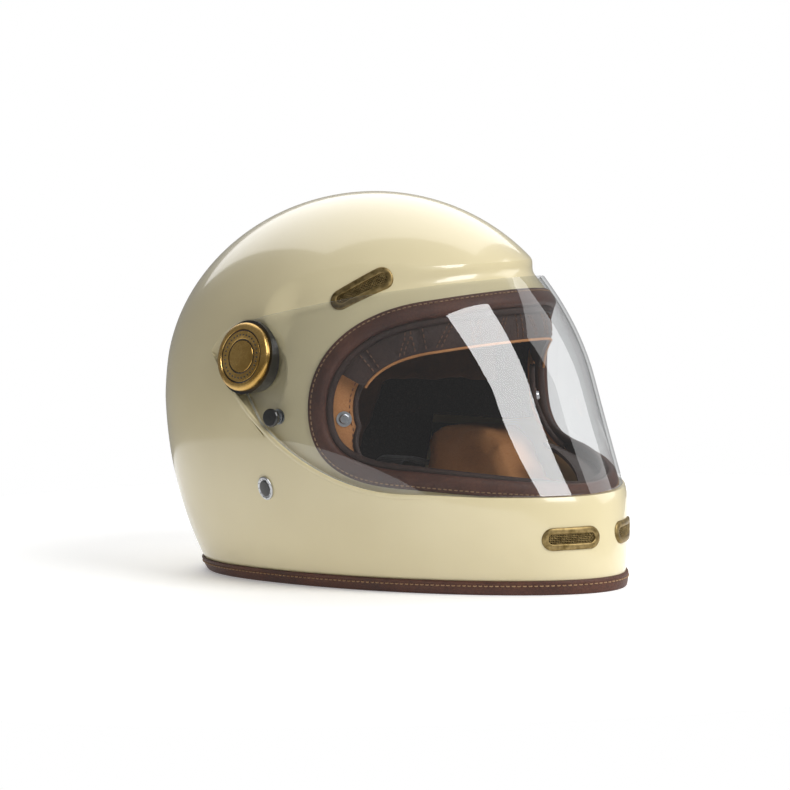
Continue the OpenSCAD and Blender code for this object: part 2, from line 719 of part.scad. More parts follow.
module strap_left() {
    color(black) placed() {
        difference() {
            webbing(concat(anchor_path(left), [[hang_x, loop_z + loop_hole]]));
            rivet_hole(left);
        }
        translate([hang_x, strap_y + strap_width / 2, loop_z]) rotate([90, 0, 0])
            linear_extrude(strap_width) difference() {
                circle(loop_hole + strap_thickness, $fn = 64);
                circle(loop_hole, $fn = 64);
            }
    }
}
module strap_right() {
    // The long end is folded in across the neck opening
    turn = 12;
    color(black) placed() difference() {
        webbing(concat(anchor_path(right), [[-hang_x, 40], [-hang_x, 5 + turn]],
            [for (a = [195:15:255]) [-hang_x + turn + turn * cos(a), 4 + turn + turn * sin(a)]],
            [[-hang_x + turn, 4], [34, 4]]));
        rivet_hole(right);
    }
}
module strap_anchors() {
    // Rivets from the shell's inside face, through the webbing
    face = anchor_x - strap_thickness - 0.05;
    color(steel) placed() for (side = [left, right])
        translate([side * face, strap_y, anchor_height]) rotate([0, side * 90, 0]) {
            cylinder(h = shell_x - face - 0.1, r = 2.5, $fn = 48);
            translate([0, 0, -1.6]) cylinder(h = 1.6, r1 = 5, r2 = 6.5, $fn = 48);
        }
}
module strap_end_snap() {
    color(steel) placed() translate([26, strap_y, 5.05]) {
        cylinder(h = 1.2, r = 6, $fn = 48);
        translate([0, 0, 1.2]) cylinder(h = 1.4, r1 = 3.4, r2 = 2.8, $fn = 48);
    }
}

// A D-ring in the plane x = offset, with its straight bar in the strap's loop
module d_ring(offset) {
    wire = ring_wire / 2;
    half = strap_width / 2 + wire + 1;
    bend = 6;
    bar_z = loop_z;
    low = loop_z - ring_depth;
    color(steel) placed() translate([hang_x + offset, strap_y, 0]) {
        translate([0, half - bend, bar_z]) rotate([90, 0, 0])
            cylinder(h = 2 * (half - bend), r = wire, $fn = 32);
        for (s = [-1, 1]) {
            translate([0, s * (half - bend), bar_z - bend]) rotate([90, 0, 90])
                rotate([0, 0, s > 0 ? 0 : 90]) rotate_extrude(angle = 90, $fn = 48)
                translate([bend, 0]) circle(wire, $fn = 32);
            translate([0, s * half, low + bend]) cylinder(h = bar_z - low - 2 * bend, r = wire, $fn = 32);
            translate([0, s * (half - bend), low + bend]) rotate([90, 0, 90])
                rotate([0, 0, s > 0 ? 270 : 180]) rotate_extrude(angle = 90, $fn = 48)
                translate([bend, 0]) circle(wire, $fn = 32);
        }
        translate([0, half - bend, low]) rotate([90, 0, 0])
            cylinder(h = 2 * (half - bend), r = wire, $fn = 32);
    }
}
module d_ring_outer() d_ring(2.15);
module d_ring_inner() d_ring(-2.15);

outer_shell();
foam_crown_liner();
foam_chin_liner();
crown_comfort_liner();
brow_lining();
chin_lining();
side_lining_left();
side_lining_right();
lining_snaps();
cheek_pad_left();
cheek_pad_right();
neck_roll();
eyeport_trim();
rim_trim();
visor();
visor_eyelet_left();
visor_eyelet_right();
lift_knob();
knob_rivet();
catch_magnet();
pivot_bush_left();
pivot_bush_right();
pivot_screw_left();
pivot_screw_right();
pivot_insert_left();
pivot_insert_right();
base_ring_left();
base_ring_right();
pivot_cap_left();
pivot_cap_right();
brow_vent_frame_left();
brow_vent_frame_right();
brow_vent_mesh_left();
brow_vent_mesh_right();
chin_vent_frame_left();
chin_vent_frame_right();
chin_vent_mesh_left();
chin_vent_mesh_right();
side_badge();
strap_left();
strap_right();
strap_anchors();
strap_end_snap();
d_ring_outer();
d_ring_inner();
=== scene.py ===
"""Looks of a retro full-face motorcycle helmet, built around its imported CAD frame.

Shapes are worked out in millimetres about the visor's pivots, as the CAD does, and turned into
metres of the row frame when a mesh is made. The cream shell, the clear visor and the leather
follow one egg-shaped surface; everything small (stitches, wire mesh, pips) stands on it.
"""
import math

import bpy
import numpy as np
from mathutils import Matrix, Vector
from mathutils.bvhtree import BVHTree


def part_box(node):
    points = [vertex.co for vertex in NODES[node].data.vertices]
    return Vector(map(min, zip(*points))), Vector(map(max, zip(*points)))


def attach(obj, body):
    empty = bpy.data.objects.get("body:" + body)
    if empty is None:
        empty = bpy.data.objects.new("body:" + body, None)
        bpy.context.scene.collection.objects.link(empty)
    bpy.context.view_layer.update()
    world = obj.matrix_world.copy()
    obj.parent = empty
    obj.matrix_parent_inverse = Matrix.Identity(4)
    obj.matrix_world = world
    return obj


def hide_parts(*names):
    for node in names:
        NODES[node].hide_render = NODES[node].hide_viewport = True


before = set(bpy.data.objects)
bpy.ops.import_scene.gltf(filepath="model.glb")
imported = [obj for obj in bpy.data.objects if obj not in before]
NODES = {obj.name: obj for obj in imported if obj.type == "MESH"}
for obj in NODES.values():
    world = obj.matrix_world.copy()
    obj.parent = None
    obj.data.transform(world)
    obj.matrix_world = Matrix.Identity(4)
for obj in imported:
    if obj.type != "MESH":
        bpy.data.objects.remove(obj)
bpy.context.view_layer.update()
MM = 0.001
LEFT, RIGHT = 1, -1
SIDES = (LEFT, "left"), (RIGHT, "right")
UP = np.array([0.0, 0.0, 1.0])

# ---- driving dimensions, in millimetres, equal to the CAD's ----
PIVOT_Y = 31.3
HALF_WIDTH, RIM_HALF_WIDTH, WIDTH_LEVEL, WIDTH_POWER = 125.0, 90.0, 118.0, 2.2
REAR_REACH, RIM_REAR_REACH, REAR_LEVEL, REAR_POWER = 140.0, 123.0, 142.0, 2.1
DOME_REACH, DOME_LEVEL = 151.0, 130.5
CHIN_REACH, CHIN_RIM_REACH, CHIN_LEVEL, CHIN_FADE = 196.0, 201.0, 59.0, 194.0
CROWN = 254.5
NOSE_TAPER, REAR_FULLNESS, CROWN_FULLNESS = -0.08, 0.28, 0.08
SHELL_WALL, RECESS = 3.2, 5.6
PIVOT_Z, EAR_RADIUS, EAR_FACE = 152.0, 23.2, 116.2
VISOR_INSET, VISOR_WALL = 1.2, 2.2
EYELET_RADIUS = 11.5
CAP_SEAT, CAP_TILT = 124.0, math.radians(12)
BROW_VENT, CHIN_VENT, VENT_HEIGHT = 44.0, 40.0, 14.6
STRAP_Y, STRAP_WIDTH, STRAP_THICK, HANG_X, LOOP_Z, LOOP_HOLE = 38.0, 24.0, 2.0, 50.0, 40.0, 4.5
OPEN_FRONT = -260.0
RECESS_GAP = 0.8
EAR_FLOOR = EAR_FACE - VISOR_WALL - RECESS_GAP
KNOB_SPOT, BADGE_SPOT = (-23, 113.7), (-10.7, 66.8)


def new_object(name, data):
    obj = bpy.data.objects.new(name, data)
    bpy.context.scene.collection.objects.link(obj)
    return obj


# ---- camera: three-quarter view from the wearer's right, a little above the middle ----

def add_camera():
    azimuth, elevation, roll = (math.radians(v) for v in (-47.63, 4.9, -1.286))
    distance, focal = 2.639, 180.15
    target = Vector((0.0, 0.0019, 0.1254))
    toward = Vector((math.sin(azimuth) * math.cos(elevation),
                     -math.cos(azimuth) * math.cos(elevation), math.sin(elevation)))
    side = Vector((math.cos(azimuth), math.sin(azimuth), 0.0))
    over = toward.cross(side)
    right = side * math.cos(roll) + over * math.sin(roll)
    top = over * math.cos(roll) - side * math.sin(roll)
    data = bpy.data.cameras.new("camera")
    data.lens, data.sensor_width = focal, 36.0
    data.shift_x, data.shift_y = -0.01724, -0.01275
    data.clip_start, data.clip_end = 0.05, 30.0
    camera = new_object("camera", data)
    matrix = Matrix((right, top, toward)).transposed().to_4x4()
    matrix.translation = target + toward * distance
    camera.matrix_world = matrix
    bpy.context.scene.camera = camera


add_camera()


# ---- the egg-shaped surface ----

def smooth(t):
    u = np.clip(t, 0, 1)
    return u * u * (3 - 2 * u)


def arch(reach, level, z, inset):
    rise = np.maximum(z - level, 0) / (CROWN - inset - level)
    return (reach - inset) * np.sqrt(np.maximum(0, 1 - rise ** 2))


def sag(reach, rim, level, power, z):
    return (reach - rim) * (np.maximum(level - z, 0) / level) ** power


def reaches(z, inset):
    """Half width, rear reach and front reach of the section at height z."""
    width = arch(HALF_WIDTH, WIDTH_LEVEL, z, inset) \
        - sag(HALF_WIDTH, RIM_HALF_WIDTH, WIDTH_LEVEL, WIDTH_POWER, z)
    rear = arch(REAR_REACH, REAR_LEVEL, z, inset) \
        - sag(REAR_REACH, RIM_REAR_REACH, REAR_LEVEL, REAR_POWER, z)
    fade = (np.maximum(CHIN_FADE - z, 0) / (CHIN_FADE - CHIN_LEVEL)) ** 1.5
    upper = arch(DOME_REACH, DOME_LEVEL, z, inset) + (CHIN_REACH - DOME_REACH) * fade
    lower = CHIN_RIM_REACH - inset + (CHIN_REACH - CHIN_RIM_REACH) * (z / CHIN_LEVEL) ** 2
    return width, rear, np.where(z > CHIN_LEVEL, upper, lower)


def egg(a, z, inset=0.0):
    """Point of the surface at angle a (radians: 0 is +X, a quarter turn is the rear)."""
    a, z = np.broadcast_arrays(np.asarray(a, float), np.asarray(z, float))
    level = np.maximum(z, 0)
    width, rear, front = reaches(level, inset)
    c, s = np.cos(a), np.sin(a)
    rear_full = REAR_FULLNESS + (CROWN_FULLNESS - REAR_FULLNESS) \
        * np.clip((level - 120) / (CROWN - 120), 0, 1)
    full = np.where(s < 0, NOSE_TAPER, rear_full)
    return np.stack([width * c * (1 + full * s * s), np.where(s < 0, front, rear) * s, z], -1)


def unit(v):
    return v / np.linalg.norm(v, axis=-1, keepdims=True)


def egg_normal(a, z, inset=0.0):
    da, dz = 0.008, 0.4
    return unit(np.cross(egg(a + da, z, inset) - egg(a - da, z, inset),
                         egg(a, z + dz, inset) - egg(a, z - dz, inset)))


def spot(y, z, side=LEFT):
    """Angle and height of the surface at a place of the side view."""
    _, rear, front = reaches(np.asarray(z, float), 0.0)
    a = np.arcsin(np.clip(y / np.where(np.asarray(y) < 0, front, rear), -1, 1))
    return (a if side > 0 else np.pi - a), z


def bezier(a, b, c, d, t):
    a, b, c, d = (np.asarray(p, float) for p in (a, b, c, d))
    t = np.asarray(t, float)[..., None]
    s = 1 - t
    return s ** 3 * a + 3 * s * s * t * b + 3 * s * t * t * c + t ** 3 * d


# ---- mesh helpers ----

def signed_volume(points, faces):
    """Positive where the faces are wound to look outwards."""
    quads = np.array([f for f in faces if len(f) == 4])
    a, b, c, d = (points[quads[:, k]] for k in range(4))
    total = np.sum(a * np.cross(b, c)) + np.sum(a * np.cross(c, d))
    for face in (f for f in faces if len(f) != 4):
        ring = points[face]
        total += np.sum(ring[0] * np.cross(ring[1:-1], ring[2:]).sum(0))
    return total


def mesh_object(name, verts, faces, angle=40):
    """A mesh from points in millimetres about the pivots, not yet a finished piece."""
    mesh = bpy.data.meshes.new(name)
    points = (np.asarray(verts, float) + [0, PIVOT_Y, 0]) * MM
    faces = [list(map(int, f)) for f in faces]
    if signed_volume(points, faces) < 0:
        faces = [f[::-1] for f in faces]
    mesh.from_pydata(points.tolist(), [], faces)
    mesh.update()
    mesh.shade_smooth()
    if angle:
        mesh.set_sharp_from_angle(angle=math.radians(angle))
    return new_object(name, mesh)


def finish_piece(obj, material, body="helmet", replaced=()):
    obj.data.materials.clear()
    obj.data.materials.append(material)
    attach(obj, body)
    if replaced:
        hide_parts(*replaced)
    return obj


def piece(name, shape, material, replaced=(), angle=40):
    """A finished piece of the helmet's body from its points and faces."""
    return finish_piece(mesh_object(name, *shape, angle=angle), material, replaced=replaced)


def strips(n, m, loop=False):
    """Quads between n rings of m closed points; loop joins the last ring to the first."""
    i, j = np.meshgrid(np.arange(n if loop else n - 1), np.arange(m), indexing="ij")
    k, up = (j + 1) % m, (i + 1) % n
    return np.stack([i * m + j, i * m + k, up * m + k, up * m + j], -1).reshape(-1, 4).tolist()


def loft(rings, loop=False):
    """Points and faces of a closed skin through equal rings."""
    rings = np.asarray(rings, float)
    n, m = rings.shape[:2]
    faces = strips(n, m, loop)
    if not loop:
        faces += [list(range(m))[::-1], list(range((n - 1) * m, n * m))]
    return rings.reshape(-1, 3), faces


def egg_solid(name, inset, z0=-2.0, cols=96, rows=40, drop=None):
    """Closed solid inside the surface; drop lowers its points further."""
    top = CROWN - inset
    heights = z0 + (top - z0) * np.sin(np.pi / 2 * np.arange(rows) / rows)
    a, z = np.meshgrid(2 * np.pi * np.arange(cols) / cols, heights)
    points = egg(a, z, inset)
    if drop:
        lowered = drop(points[..., 1], z)
        for index in np.argwhere(lowered > 0):
            at = tuple(index)
            points[at] = egg(a[at], z[at], inset + lowered[at])
    faces = strips(rows, cols)
    last = (rows - 1) * cols
    faces.append(list(range(cols))[::-1])
    faces += [[last + j, last + (j + 1) % cols, rows * cols] for j in range(cols)]
    return mesh_object(name, np.vstack([points.reshape(-1, 3), [[0, 0, top]]]), faces, 0)


def across(name, outline):
    """Solid across the whole width with an outline of [y, z] points."""
    outline = np.asarray(outline, float)
    y, z = outline.T
    if np.sum(y * np.roll(z, -1) - np.roll(y, -1) * z) < 0:
        outline = outline[::-1]
    rings = [np.column_stack([np.full(len(outline), x), outline]) for x in (-160.0, 160.0)]
    return mesh_object(name, *loft(rings), angle=0)


def turned(name, side, profile, sides=96):
    """Solid of revolution about the pivots' axis from [x, radius] points, closed on the axis."""
    turn = 2 * np.pi * np.arange(sides) / sides
    rings = [np.stack([np.full(sides, side * x), r * np.cos(turn), PIVOT_Z + r * np.sin(turn)], -1)
             for x, r in profile]
    return mesh_object(name, *loft(rings), angle=0)


def applied(obj):
    """The mesh of an object with its modifiers, which are removed from it."""
    graph = bpy.context.evaluated_depsgraph_get()
    mesh = bpy.data.meshes.new_from_object(obj.evaluated_get(graph))
    obj.modifiers.clear()
    return mesh


def boolean(target, tool, operation="DIFFERENCE"):
    """Applies a boolean to target and removes the tool."""
    modifier = target.modifiers.new("cut", "BOOLEAN")
    modifier.object, modifier.operation, modifier.solver = tool, operation, "MANIFOLD"
    result = applied(target)
    if len(result.polygons) == 0:
        raise RuntimeError(f"{target.name}: nothing is left after {tool.name}")
    target.data = result
    bpy.data.objects.remove(tool)
    return target


def tidy_normals(obj, angle):
    obj.data.shade_smooth()
    obj.data.set_sharp_from_angle(angle=math.radians(angle))


def frames_along(path, closed=False):
    """Unit directions along a path of points."""
    if closed:
        return unit(np.roll(path, -1, 0) - np.roll(path, 1, 0))
    return unit(np.gradient(path, axis=0))


def tube(path, normals, radius, sides=10, closed=False):
    """Points and faces of a round tube along a path."""
    path = np.asarray(path, float)
    along = frames_along(path, closed)
    n = unit(normals - along * np.sum(normals * along, -1, keepdims=True))
    b = np.cross(along, n)
    turn = 2 * np.pi * np.arange(sides) / sides
    rings = path[:, None] + radius * (np.cos(turn)[None, :, None] * b[:, None]
                                      + np.sin(turn)[None, :, None] * n[:, None])
    return loft(rings, loop=closed)


def joined(parts):
    """Several (points, faces) as one."""
    verts, faces, count = [], [], 0
    for points, quads in parts:
        verts.append(np.asarray(points))
        faces += [[count + i for i in f] for f in quads]
        count += len(points)
    return np.vstack(verts), faces


def spaced(path, pitch, closed=False):
    """Evenly spaced places along a path: row numbers with fractions."""
    points = np.vstack([path, path[:1]]) if closed else path
    length = np.concatenate([[0], np.cumsum(np.linalg.norm(np.diff(points, axis=0), axis=1))])
    count = max(2, int(length[-1] // pitch))
    return np.interp((np.arange(count) + 0.5) / count * length[-1], length,
                     np.arange(len(points)))


def pick(values, at):
    """Values at fractional rows, along a closed or open list."""
    low = np.floor(at).astype(int)
    share = (at - low)[:, None]
    return values[low % len(values)] * (1 - share) + values[(low + 1) % len(values)] * share


def stitches(path, normals, closed=False, pitch=3.6, length=2.5, thread=0.42):
    """A row of sewn stitches standing on a path: each sinks into the leather at its ends."""
    path, normals = np.asarray(path, float), np.asarray(normals, float)
    at = spaced(path, pitch, closed)
    centre, n = pick(path, at), unit(pick(normals, at))
    t = unit(pick(frames_along(path, closed), at))
    steps = np.linspace(-0.5, 0.5, 5)
    parts = []
    for c, up, along in zip(centre, n, t):
        line = c + np.outer(steps * length, along) \
            + np.outer(thread * 0.75 - 2.2 * thread * (2 * steps) ** 4, up)
        parts.append(tube(line, np.tile(up, (5, 1)), thread, sides=6))
    return joined(parts)


# ---- materials ----

class Paint:
    """A node material around one Principled shader."""

    def __init__(self, name, **values):
        self.material = bpy.data.materials.new(name)
        self.material.use_nodes = True
        self.nodes = self.material.node_tree.nodes
        self.links = self.material.node_tree.links
        self.shader = self.nodes["Principled BSDF"]
        for key, value in values.items():
            self.shader.inputs[key.replace("_", " ")].default_value = value
        self.place = self.nodes.new("ShaderNodeTexCoord").outputs["Object"]

    def new(self, kind, vector=None, **values):
        """A node with inputs set by name, and its Vector linked where one is given."""
        node = self.nodes.new("ShaderNode" + kind)
        for key, value in values.items():
            node.inputs[key.replace("_", " ")].default_value = value
        if vector is not None:
            self.links.new(vector, node.inputs["Vector"])
        return node

    def mapped(self, scale=(1, 1, 1), turn=(0, 0, 0)):
        return self.new("Mapping", self.place, Scale=scale, Rotation=turn).outputs["Vector"]

    def noise(self, scale, detail=4.0, rough=0.55, where=None):
        node = self.new("TexNoise", where or self.place, Scale=scale, Detail=detail,
                        Roughness=rough, Distortion=0.0)
        return node.outputs["Fac"]

    def cells(self, scale, feature):
        node = self.new("TexVoronoi", self.place)
        node.feature = feature
        node.inputs["Scale"].default_value = scale
        node.inputs["Randomness"].default_value = 1.0
        return node.outputs["Distance"]

    def waves(self, scale, where=None, direction="X", distort=0.0, kind="BANDS"):
        node = self.new("TexWave", where or self.place, Scale=scale, Distortion=distort)
        node.wave_type = kind
        if kind == "BANDS":
            node.bands_direction = direction
        else:
            node.rings_direction = direction
        return node.outputs["Fac"]

    def ramp(self, source, stops):
        node = self.new("ValToRGB")
        ends = node.color_ramp.elements
        while len(ends) < len(stops):
            ends.new(0.5)
        for end, (at, colour) in zip(ends, stops):
            end.position = at
            end.color = (*colour, 1) if len(colour) == 3 else colour
        self.links.new(source, node.inputs["Fac"])
        return node.outputs["Color"]

    def range(self, source, low, high, start=0.0, end=1.0):
        node = self.new("MapRange", From_Min=start, From_Max=end, To_Min=low, To_Max=high)
        self.links.new(source, node.inputs["Value"])
        return node.outputs["Result"]

    def math(self, operation, a, b):
        node = self.new("Math")
        node.operation = operation
        for index, value in enumerate((a, b)):
            if isinstance(value, (int, float)):
                node.inputs[index].default_value = value
            else:
                self.links.new(value, node.inputs[index])
        return node.outputs["Value"]

    def set(self, key, source):
        self.links.new(source, self.shader.inputs[key])
        return self

    def colour(self, source, stops):
        return self.set("Base Color", self.ramp(source, stops))

    def rough(self, *values):
        return self.set("Roughness", self.range(*values))

    def bump(self, source, height):
        """Raises the surface by up to height millimetres where the source is one."""
        node = self.new("Bump", Strength=1.0, Distance=height * MM)
        self.links.new(source, node.inputs["Height"])
        before = self.shader.inputs["Normal"]
        if before.is_linked:
            self.links.new(before.links[0].from_socket, node.inputs["Normal"])
        self.links.new(node.outputs["Normal"], before)
        return self


def leather(name, dark, mid, light, rough=(0.42, 0.62), grain=0.16, pores=900):
    """Grained leather: pebbled cells, fine pores, blotches of dye and rubbed high spots."""
    p = Paint(name, Specular_IOR_Level=0.45)
    pebble = p.cells(pores, "F1")
    creases = p.cells(pores * 0.45, "DISTANCE_TO_EDGE")
    blotch = p.noise(28, 5, 0.6)
    fine = p.noise(1800, 3, 0.6)
    height = p.math("ADD", p.range(creases, 0, 0.7, 0.0, 0.12), p.range(pebble, 0.3, 0, 0.0, 0.8))
    tone = p.ramp(p.math("ADD", p.math("MULTIPLY", blotch, 0.8), p.math("MULTIPLY", height, 0.22)),
                  [(0.28, dark), (0.52, mid), (0.8, light)])
    p.set("Base Color", tone)
    p.rough(p.math("ADD", blotch, p.math("MULTIPLY", fine, 0.4)), *rough, 0.3, 1.0)
    p.bump(height, grain).bump(fine, grain * 0.35)
    return p.material


def lacquer():
    """Cream gloss lacquer: a faint flow of tone, orange peel and dust under a clear coat."""
    p = Paint("cream_lacquer", Specular_IOR_Level=0.5, Coat_Weight=0.8, Coat_Roughness=0.09,
              Coat_IOR=1.5)
    drift = p.noise(9, 3, 0.5)
    speck = p.noise(900, 2, 0.5)
    p.colour(drift, [(0.3, (0.665, 0.575, 0.345)), (0.5, (0.70, 0.61, 0.375)),
                     (0.7, (0.73, 0.64, 0.40))])
    p.rough(speck, 0.27, 0.36)
    p.bump(p.noise(240, 2, 0.45), 0.012)
    return p.material


def clear_sheet():
    """Thin clear sheet: see-through, with a mirror-like glare that grows at flat angles."""
    p = Paint("clear_visor")
    haze = p.noise(14, 4, 0.6)
    clear, glare, mix = p.new("BsdfTransparent"), p.new("BsdfGlossy"), p.new("MixShader")
    tint = p.ramp(haze, [(0.3, (0.93, 0.935, 0.94)), (0.7, (0.96, 0.965, 0.965))])
    p.links.new(tint, clear.inputs["Color"])
    p.links.new(p.range(p.noise(420, 2, 0.5), 0.01, 0.025), glare.inputs["Roughness"])
    fresnel = p.new("Fresnel", IOR=1.9)
    front = p.math("SUBTRACT", 1.0, p.new("NewGeometry").outputs["Backfacing"])
    p.links.new(p.math("MULTIPLY", fresnel.outputs["Fac"], front), mix.inputs["Fac"])
    p.links.new(clear.outputs["BSDF"], mix.inputs[1])
    p.links.new(glare.outputs["BSDF"], mix.inputs[2])
    p.nodes.remove(p.shader)
    p.links.new(mix.outputs["Shader"], p.nodes["Material Output"].inputs["Surface"])
    return p.material


def visor_rim():
    """The visor's cut edge: milky, because light gathers in it."""
    p = Paint("visor_cut_edge", Specular_IOR_Level=0.5, Alpha=0.45)
    p.colour(p.noise(60), [(0.3, (0.55, 0.58, 0.6)), (0.7, (0.7, 0.72, 0.73))])
    p.rough(p.noise(300), 0.2, 0.35)
    return p.material


def metal(name, dark, light, rough, turned_about=None, scratch=0.01, stain=60):
    """Metal with fine machining lines and patches of tarnish."""
    p = Paint(name, Metallic=1.0)
    if turned_about is None:
        lines = p.noise(700, 3, 0.6, p.mapped((1, 0.06, 1)))
    else:
        lines = p.waves(900, turned_about(p), "Y", 0.6, "RINGS")
    patches = p.noise(stain, 5, 0.62)
    p.colour(patches, [(0.3, dark), (0.62, light)])
    p.set("Roughness", p.math("ADD", p.range(patches, *rough, 0.35, 0.7),
                              p.math("MULTIPLY", lines, 0.07)))
    p.bump(lines, scratch)
    return p.material


def about_cap(side):
    """Coordinates whose Y runs along a cap's own axis, with the cap's middle at the origin."""
    def where(p):
        middle = (-side * CAP_SEAT * MM, -PIVOT_Y * MM, -PIVOT_Z * MM)
        shift = p.new("Mapping", p.place, Location=middle)
        turn = p.new("Mapping", shift.outputs["Vector"], Rotation=(0, side * CAP_TILT, math.pi / 2))
        return turn.outputs["Vector"]
    return where


def foam():
    """Moulded bead foam: closely packed cells with a dull skin."""
    p = Paint("bead_foam", Specular_IOR_Level=0.25)
    bead = p.cells(330, "DISTANCE_TO_EDGE")
    p.colour(bead, [(0.0, (0.007, 0.006, 0.005)), (0.12, (0.016, 0.013, 0.011)),
                    (0.5, (0.026, 0.021, 0.018))])
    p.rough(p.noise(600), 0.7, 0.9)
    p.bump(p.range(bead, 0, 1, 0, 0.14), 0.35)
    return p.material


def webbing_cloth():
    """Black polyester webbing: a herringbone weave with ribbed rows across."""
    p = Paint("strap_webbing", Specular_IOR_Level=0.3, Sheen_Weight=0.25, Sheen_Roughness=0.5)
    slant = p.waves(420, p.mapped((1, 1, 1), (0, 0, 0.7)), "Y", 0.3)
    rows = p.waves(330, None, "Z", 0.2)
    weave = p.math("MULTIPLY", slant, rows)
    p.colour(p.math("ADD", weave, p.math("MULTIPLY", p.noise(40), 0.4)),
             [(0.1, (0.008, 0.008, 0.009)), (0.8, (0.035, 0.035, 0.038))])
    p.rough(weave, 0.85, 0.6)
    p.bump(weave, 0.25)
    return p.material


def black_gloss():
    """Black moulded plastic with a soft gloss and fine surface ripple."""
    p = Paint("black_moulding", Specular_IOR_Level=0.5, Coat_Weight=0.5, Coat_Roughness=0.12)
    drift = p.noise(70, 4, 0.6)
    p.colour(drift, [(0.3, (0.006, 0.006, 0.006)), (0.7, (0.018, 0.017, 0.016))])
    p.rough(p.noise(500), 0.24, 0.36)
    p.bump(p.noise(900, 2), 0.003)
    return p.material


def thread(name, dark, light):
    """Waxed thread with a twist."""
    p = Paint(name, Specular_IOR_Level=0.35)
    p.colour(p.noise(500, 3), [(0.3, dark), (0.7, light)])
    p.rough(p.noise(900), 0.5, 0.7)
    p.bump(p.waves(1500, p.mapped((1, 1, 1), (0.6, 0.4, 0.7))), 0.08)
    return p.material


CREAM = lacquer()
CLEAR = clear_sheet()
CUT_EDGE = visor_rim()
TRIM = leather("trim_leather", (0.040, 0.012, 0.006), (0.078, 0.025, 0.013), (0.13, 0.047, 0.025))
QUILT = leather("quilted_leather", (0.020, 0.009, 0.0065), (0.036, 0.016, 0.011),
                (0.060, 0.028, 0.019), (0.5, 0.72), 0.2, 700)
TAN = leather("tan_suede", (0.34, 0.135, 0.042), (0.47, 0.20, 0.066), (0.56, 0.27, 0.105),
              (0.62, 0.85), 0.12, 1300)
SUEDE = leather("brown_suede", (0.035, 0.013, 0.006), (0.075, 0.030, 0.013), (0.13, 0.055, 0.024),
                (0.7, 0.9), 0.12, 1300)
STITCH = thread("tan_thread", (0.30, 0.17, 0.085), (0.46, 0.29, 0.16))
DARK_STITCH = thread("brown_thread", (0.12, 0.055, 0.03), (0.2, 0.1, 0.06))
FOAM = foam()
BLACK = black_gloss()
WEBBING = webbing_cloth()
STEEL = metal("satin_steel", (0.42, 0.43, 0.45), (0.62, 0.63, 0.65), (0.2, 0.34))
AGED = metal("aged_brass", (0.13, 0.088, 0.03), (0.34, 0.25, 0.11), (0.34, 0.5), None, 0.03, 260)
BRASS = {side: metal(f"turned_brass_{name}", (0.42, 0.245, 0.062), (0.66, 0.43, 0.15),
                     (0.16, 0.3), about_cap(side), 0.02, 45)
         for side, name in SIDES}

# ---- visor outline and recess, as in the CAD ----

EAR_LOW, EAR_TOP = math.radians(-44), math.radians(75.5)


def visor_top(y):
    s = 5.8 - y
    return PIVOT_Z + 22.3 + 0.2684 * s - 0.00057 * s * s


def ear_point(r, a):
    return np.array([r * math.cos(a), PIVOT_Z + r * math.sin(a)])


def ear_arc(grow, count=48):
    return [ear_point(EAR_RADIUS + grow, a) for a in np.linspace(EAR_LOW, EAR_TOP, count)]


def low_edge(grow, count=72):
    """The visor's lower edge, from the ear forward to the chin."""
    low = ear_point(EAR_RADIUS + grow, EAR_LOW)
    curve = bezier(low, low + [-31.7, -32.6], [-55 + grow / 2, 67 - grow], [-110, 65.6 - grow],
                   np.linspace(0, 1, count))
    front = [[y, 65.6 - grow - (5.6 * smooth((-110 - y) / 170))] for y in np.arange(-118, -200, -8.0)]
    return list(curve) + front + [[OPEN_FRONT, 60 - grow]]


def visor_outline(grow):
    top = [[y, visor_top(y) + grow] for y in np.arange(0, -133, -6.0)]
    return ear_arc(grow) + top + [[OPEN_FRONT, visor_top(-132) + grow]] + low_edge(grow)[::-1][:-1]


def recess_outline(grow, top):
    over = [[6, 190 + top], [-12, 203 + top], [-60, 214 + top], [OPEN_FRONT, 217 + top]]
    return ear_arc(grow) + over + low_edge(grow)[::-1][:-1]


def soft_drop(y, z):
    """How deep the recess is: its floor runs out above the visor and behind the ears."""
    ramp = 13 + 13 * smooth((y + 110) / 60)
    up = smooth((z - visor_top(np.maximum(y, -132)) - 1) / ramp)
    back = smooth((y + 28) / 28) * smooth((z - 145) / 20)
    return RECESS * (1 - up) * (1 - back)


def recess_drop(y, z):
    d = soft_drop(y, z)
    return d - 0.6 * (1 - d / RECESS)


def pivot_dish(name, side, x, r, margin=30.0):
    return turned(name, side, [(x, r), (x + margin, r + 2.5 * margin)])


# ---- eyeport loop ----

EYE_BACK, BROW_CORNER, JAW_CORNER = (-46.9, 119.3), (-105.0, 190.0), (-112.0, 68.5)


def front_run(corner, low, steps):
    """Spots from the midline out to a corner, along a line that is straight in the side view."""
    end, _ = spot(*corner)
    a = np.linspace(-np.pi / 2, end, steps, endpoint=False)
    z = np.full(steps, corner[1])
    for _ in range(8):
        y = reaches(z, 0.0)[2] * np.sin(a)
        z = 68.5 - (-112 - y) * 0.085 if low else 190 + (-105 - y) * 0.2
    return np.column_stack([a, z])


def eye_spots(brow=44, side=64):
    """The loop as [angle, height]: brow, down the left side, jaw, and back up the right side."""
    upper = bezier(EYE_BACK, (-46.9, 156), (-70, 184), BROW_CORNER, np.linspace(1, 0, side, False))
    lower = bezier(EYE_BACK, (-46.9, 89), (-62, 70), JAW_CORNER, np.linspace(0, 1, side, False))
    jaw_angle = float(spot(*JAW_CORNER)[0])
    half = np.vstack([front_run(BROW_CORNER, False, brow),
                      np.column_stack(spot(*upper.T)), np.column_stack(spot(*lower.T)),
                      [[jaw_angle, JAW_CORNER[1]]], front_run(JAW_CORNER, True, brow)[::-1]])
    back = half[1:-1][::-1].copy()
    back[:, 0] = np.pi - back[:, 0]
    return np.vstack([half, back]), len(half)


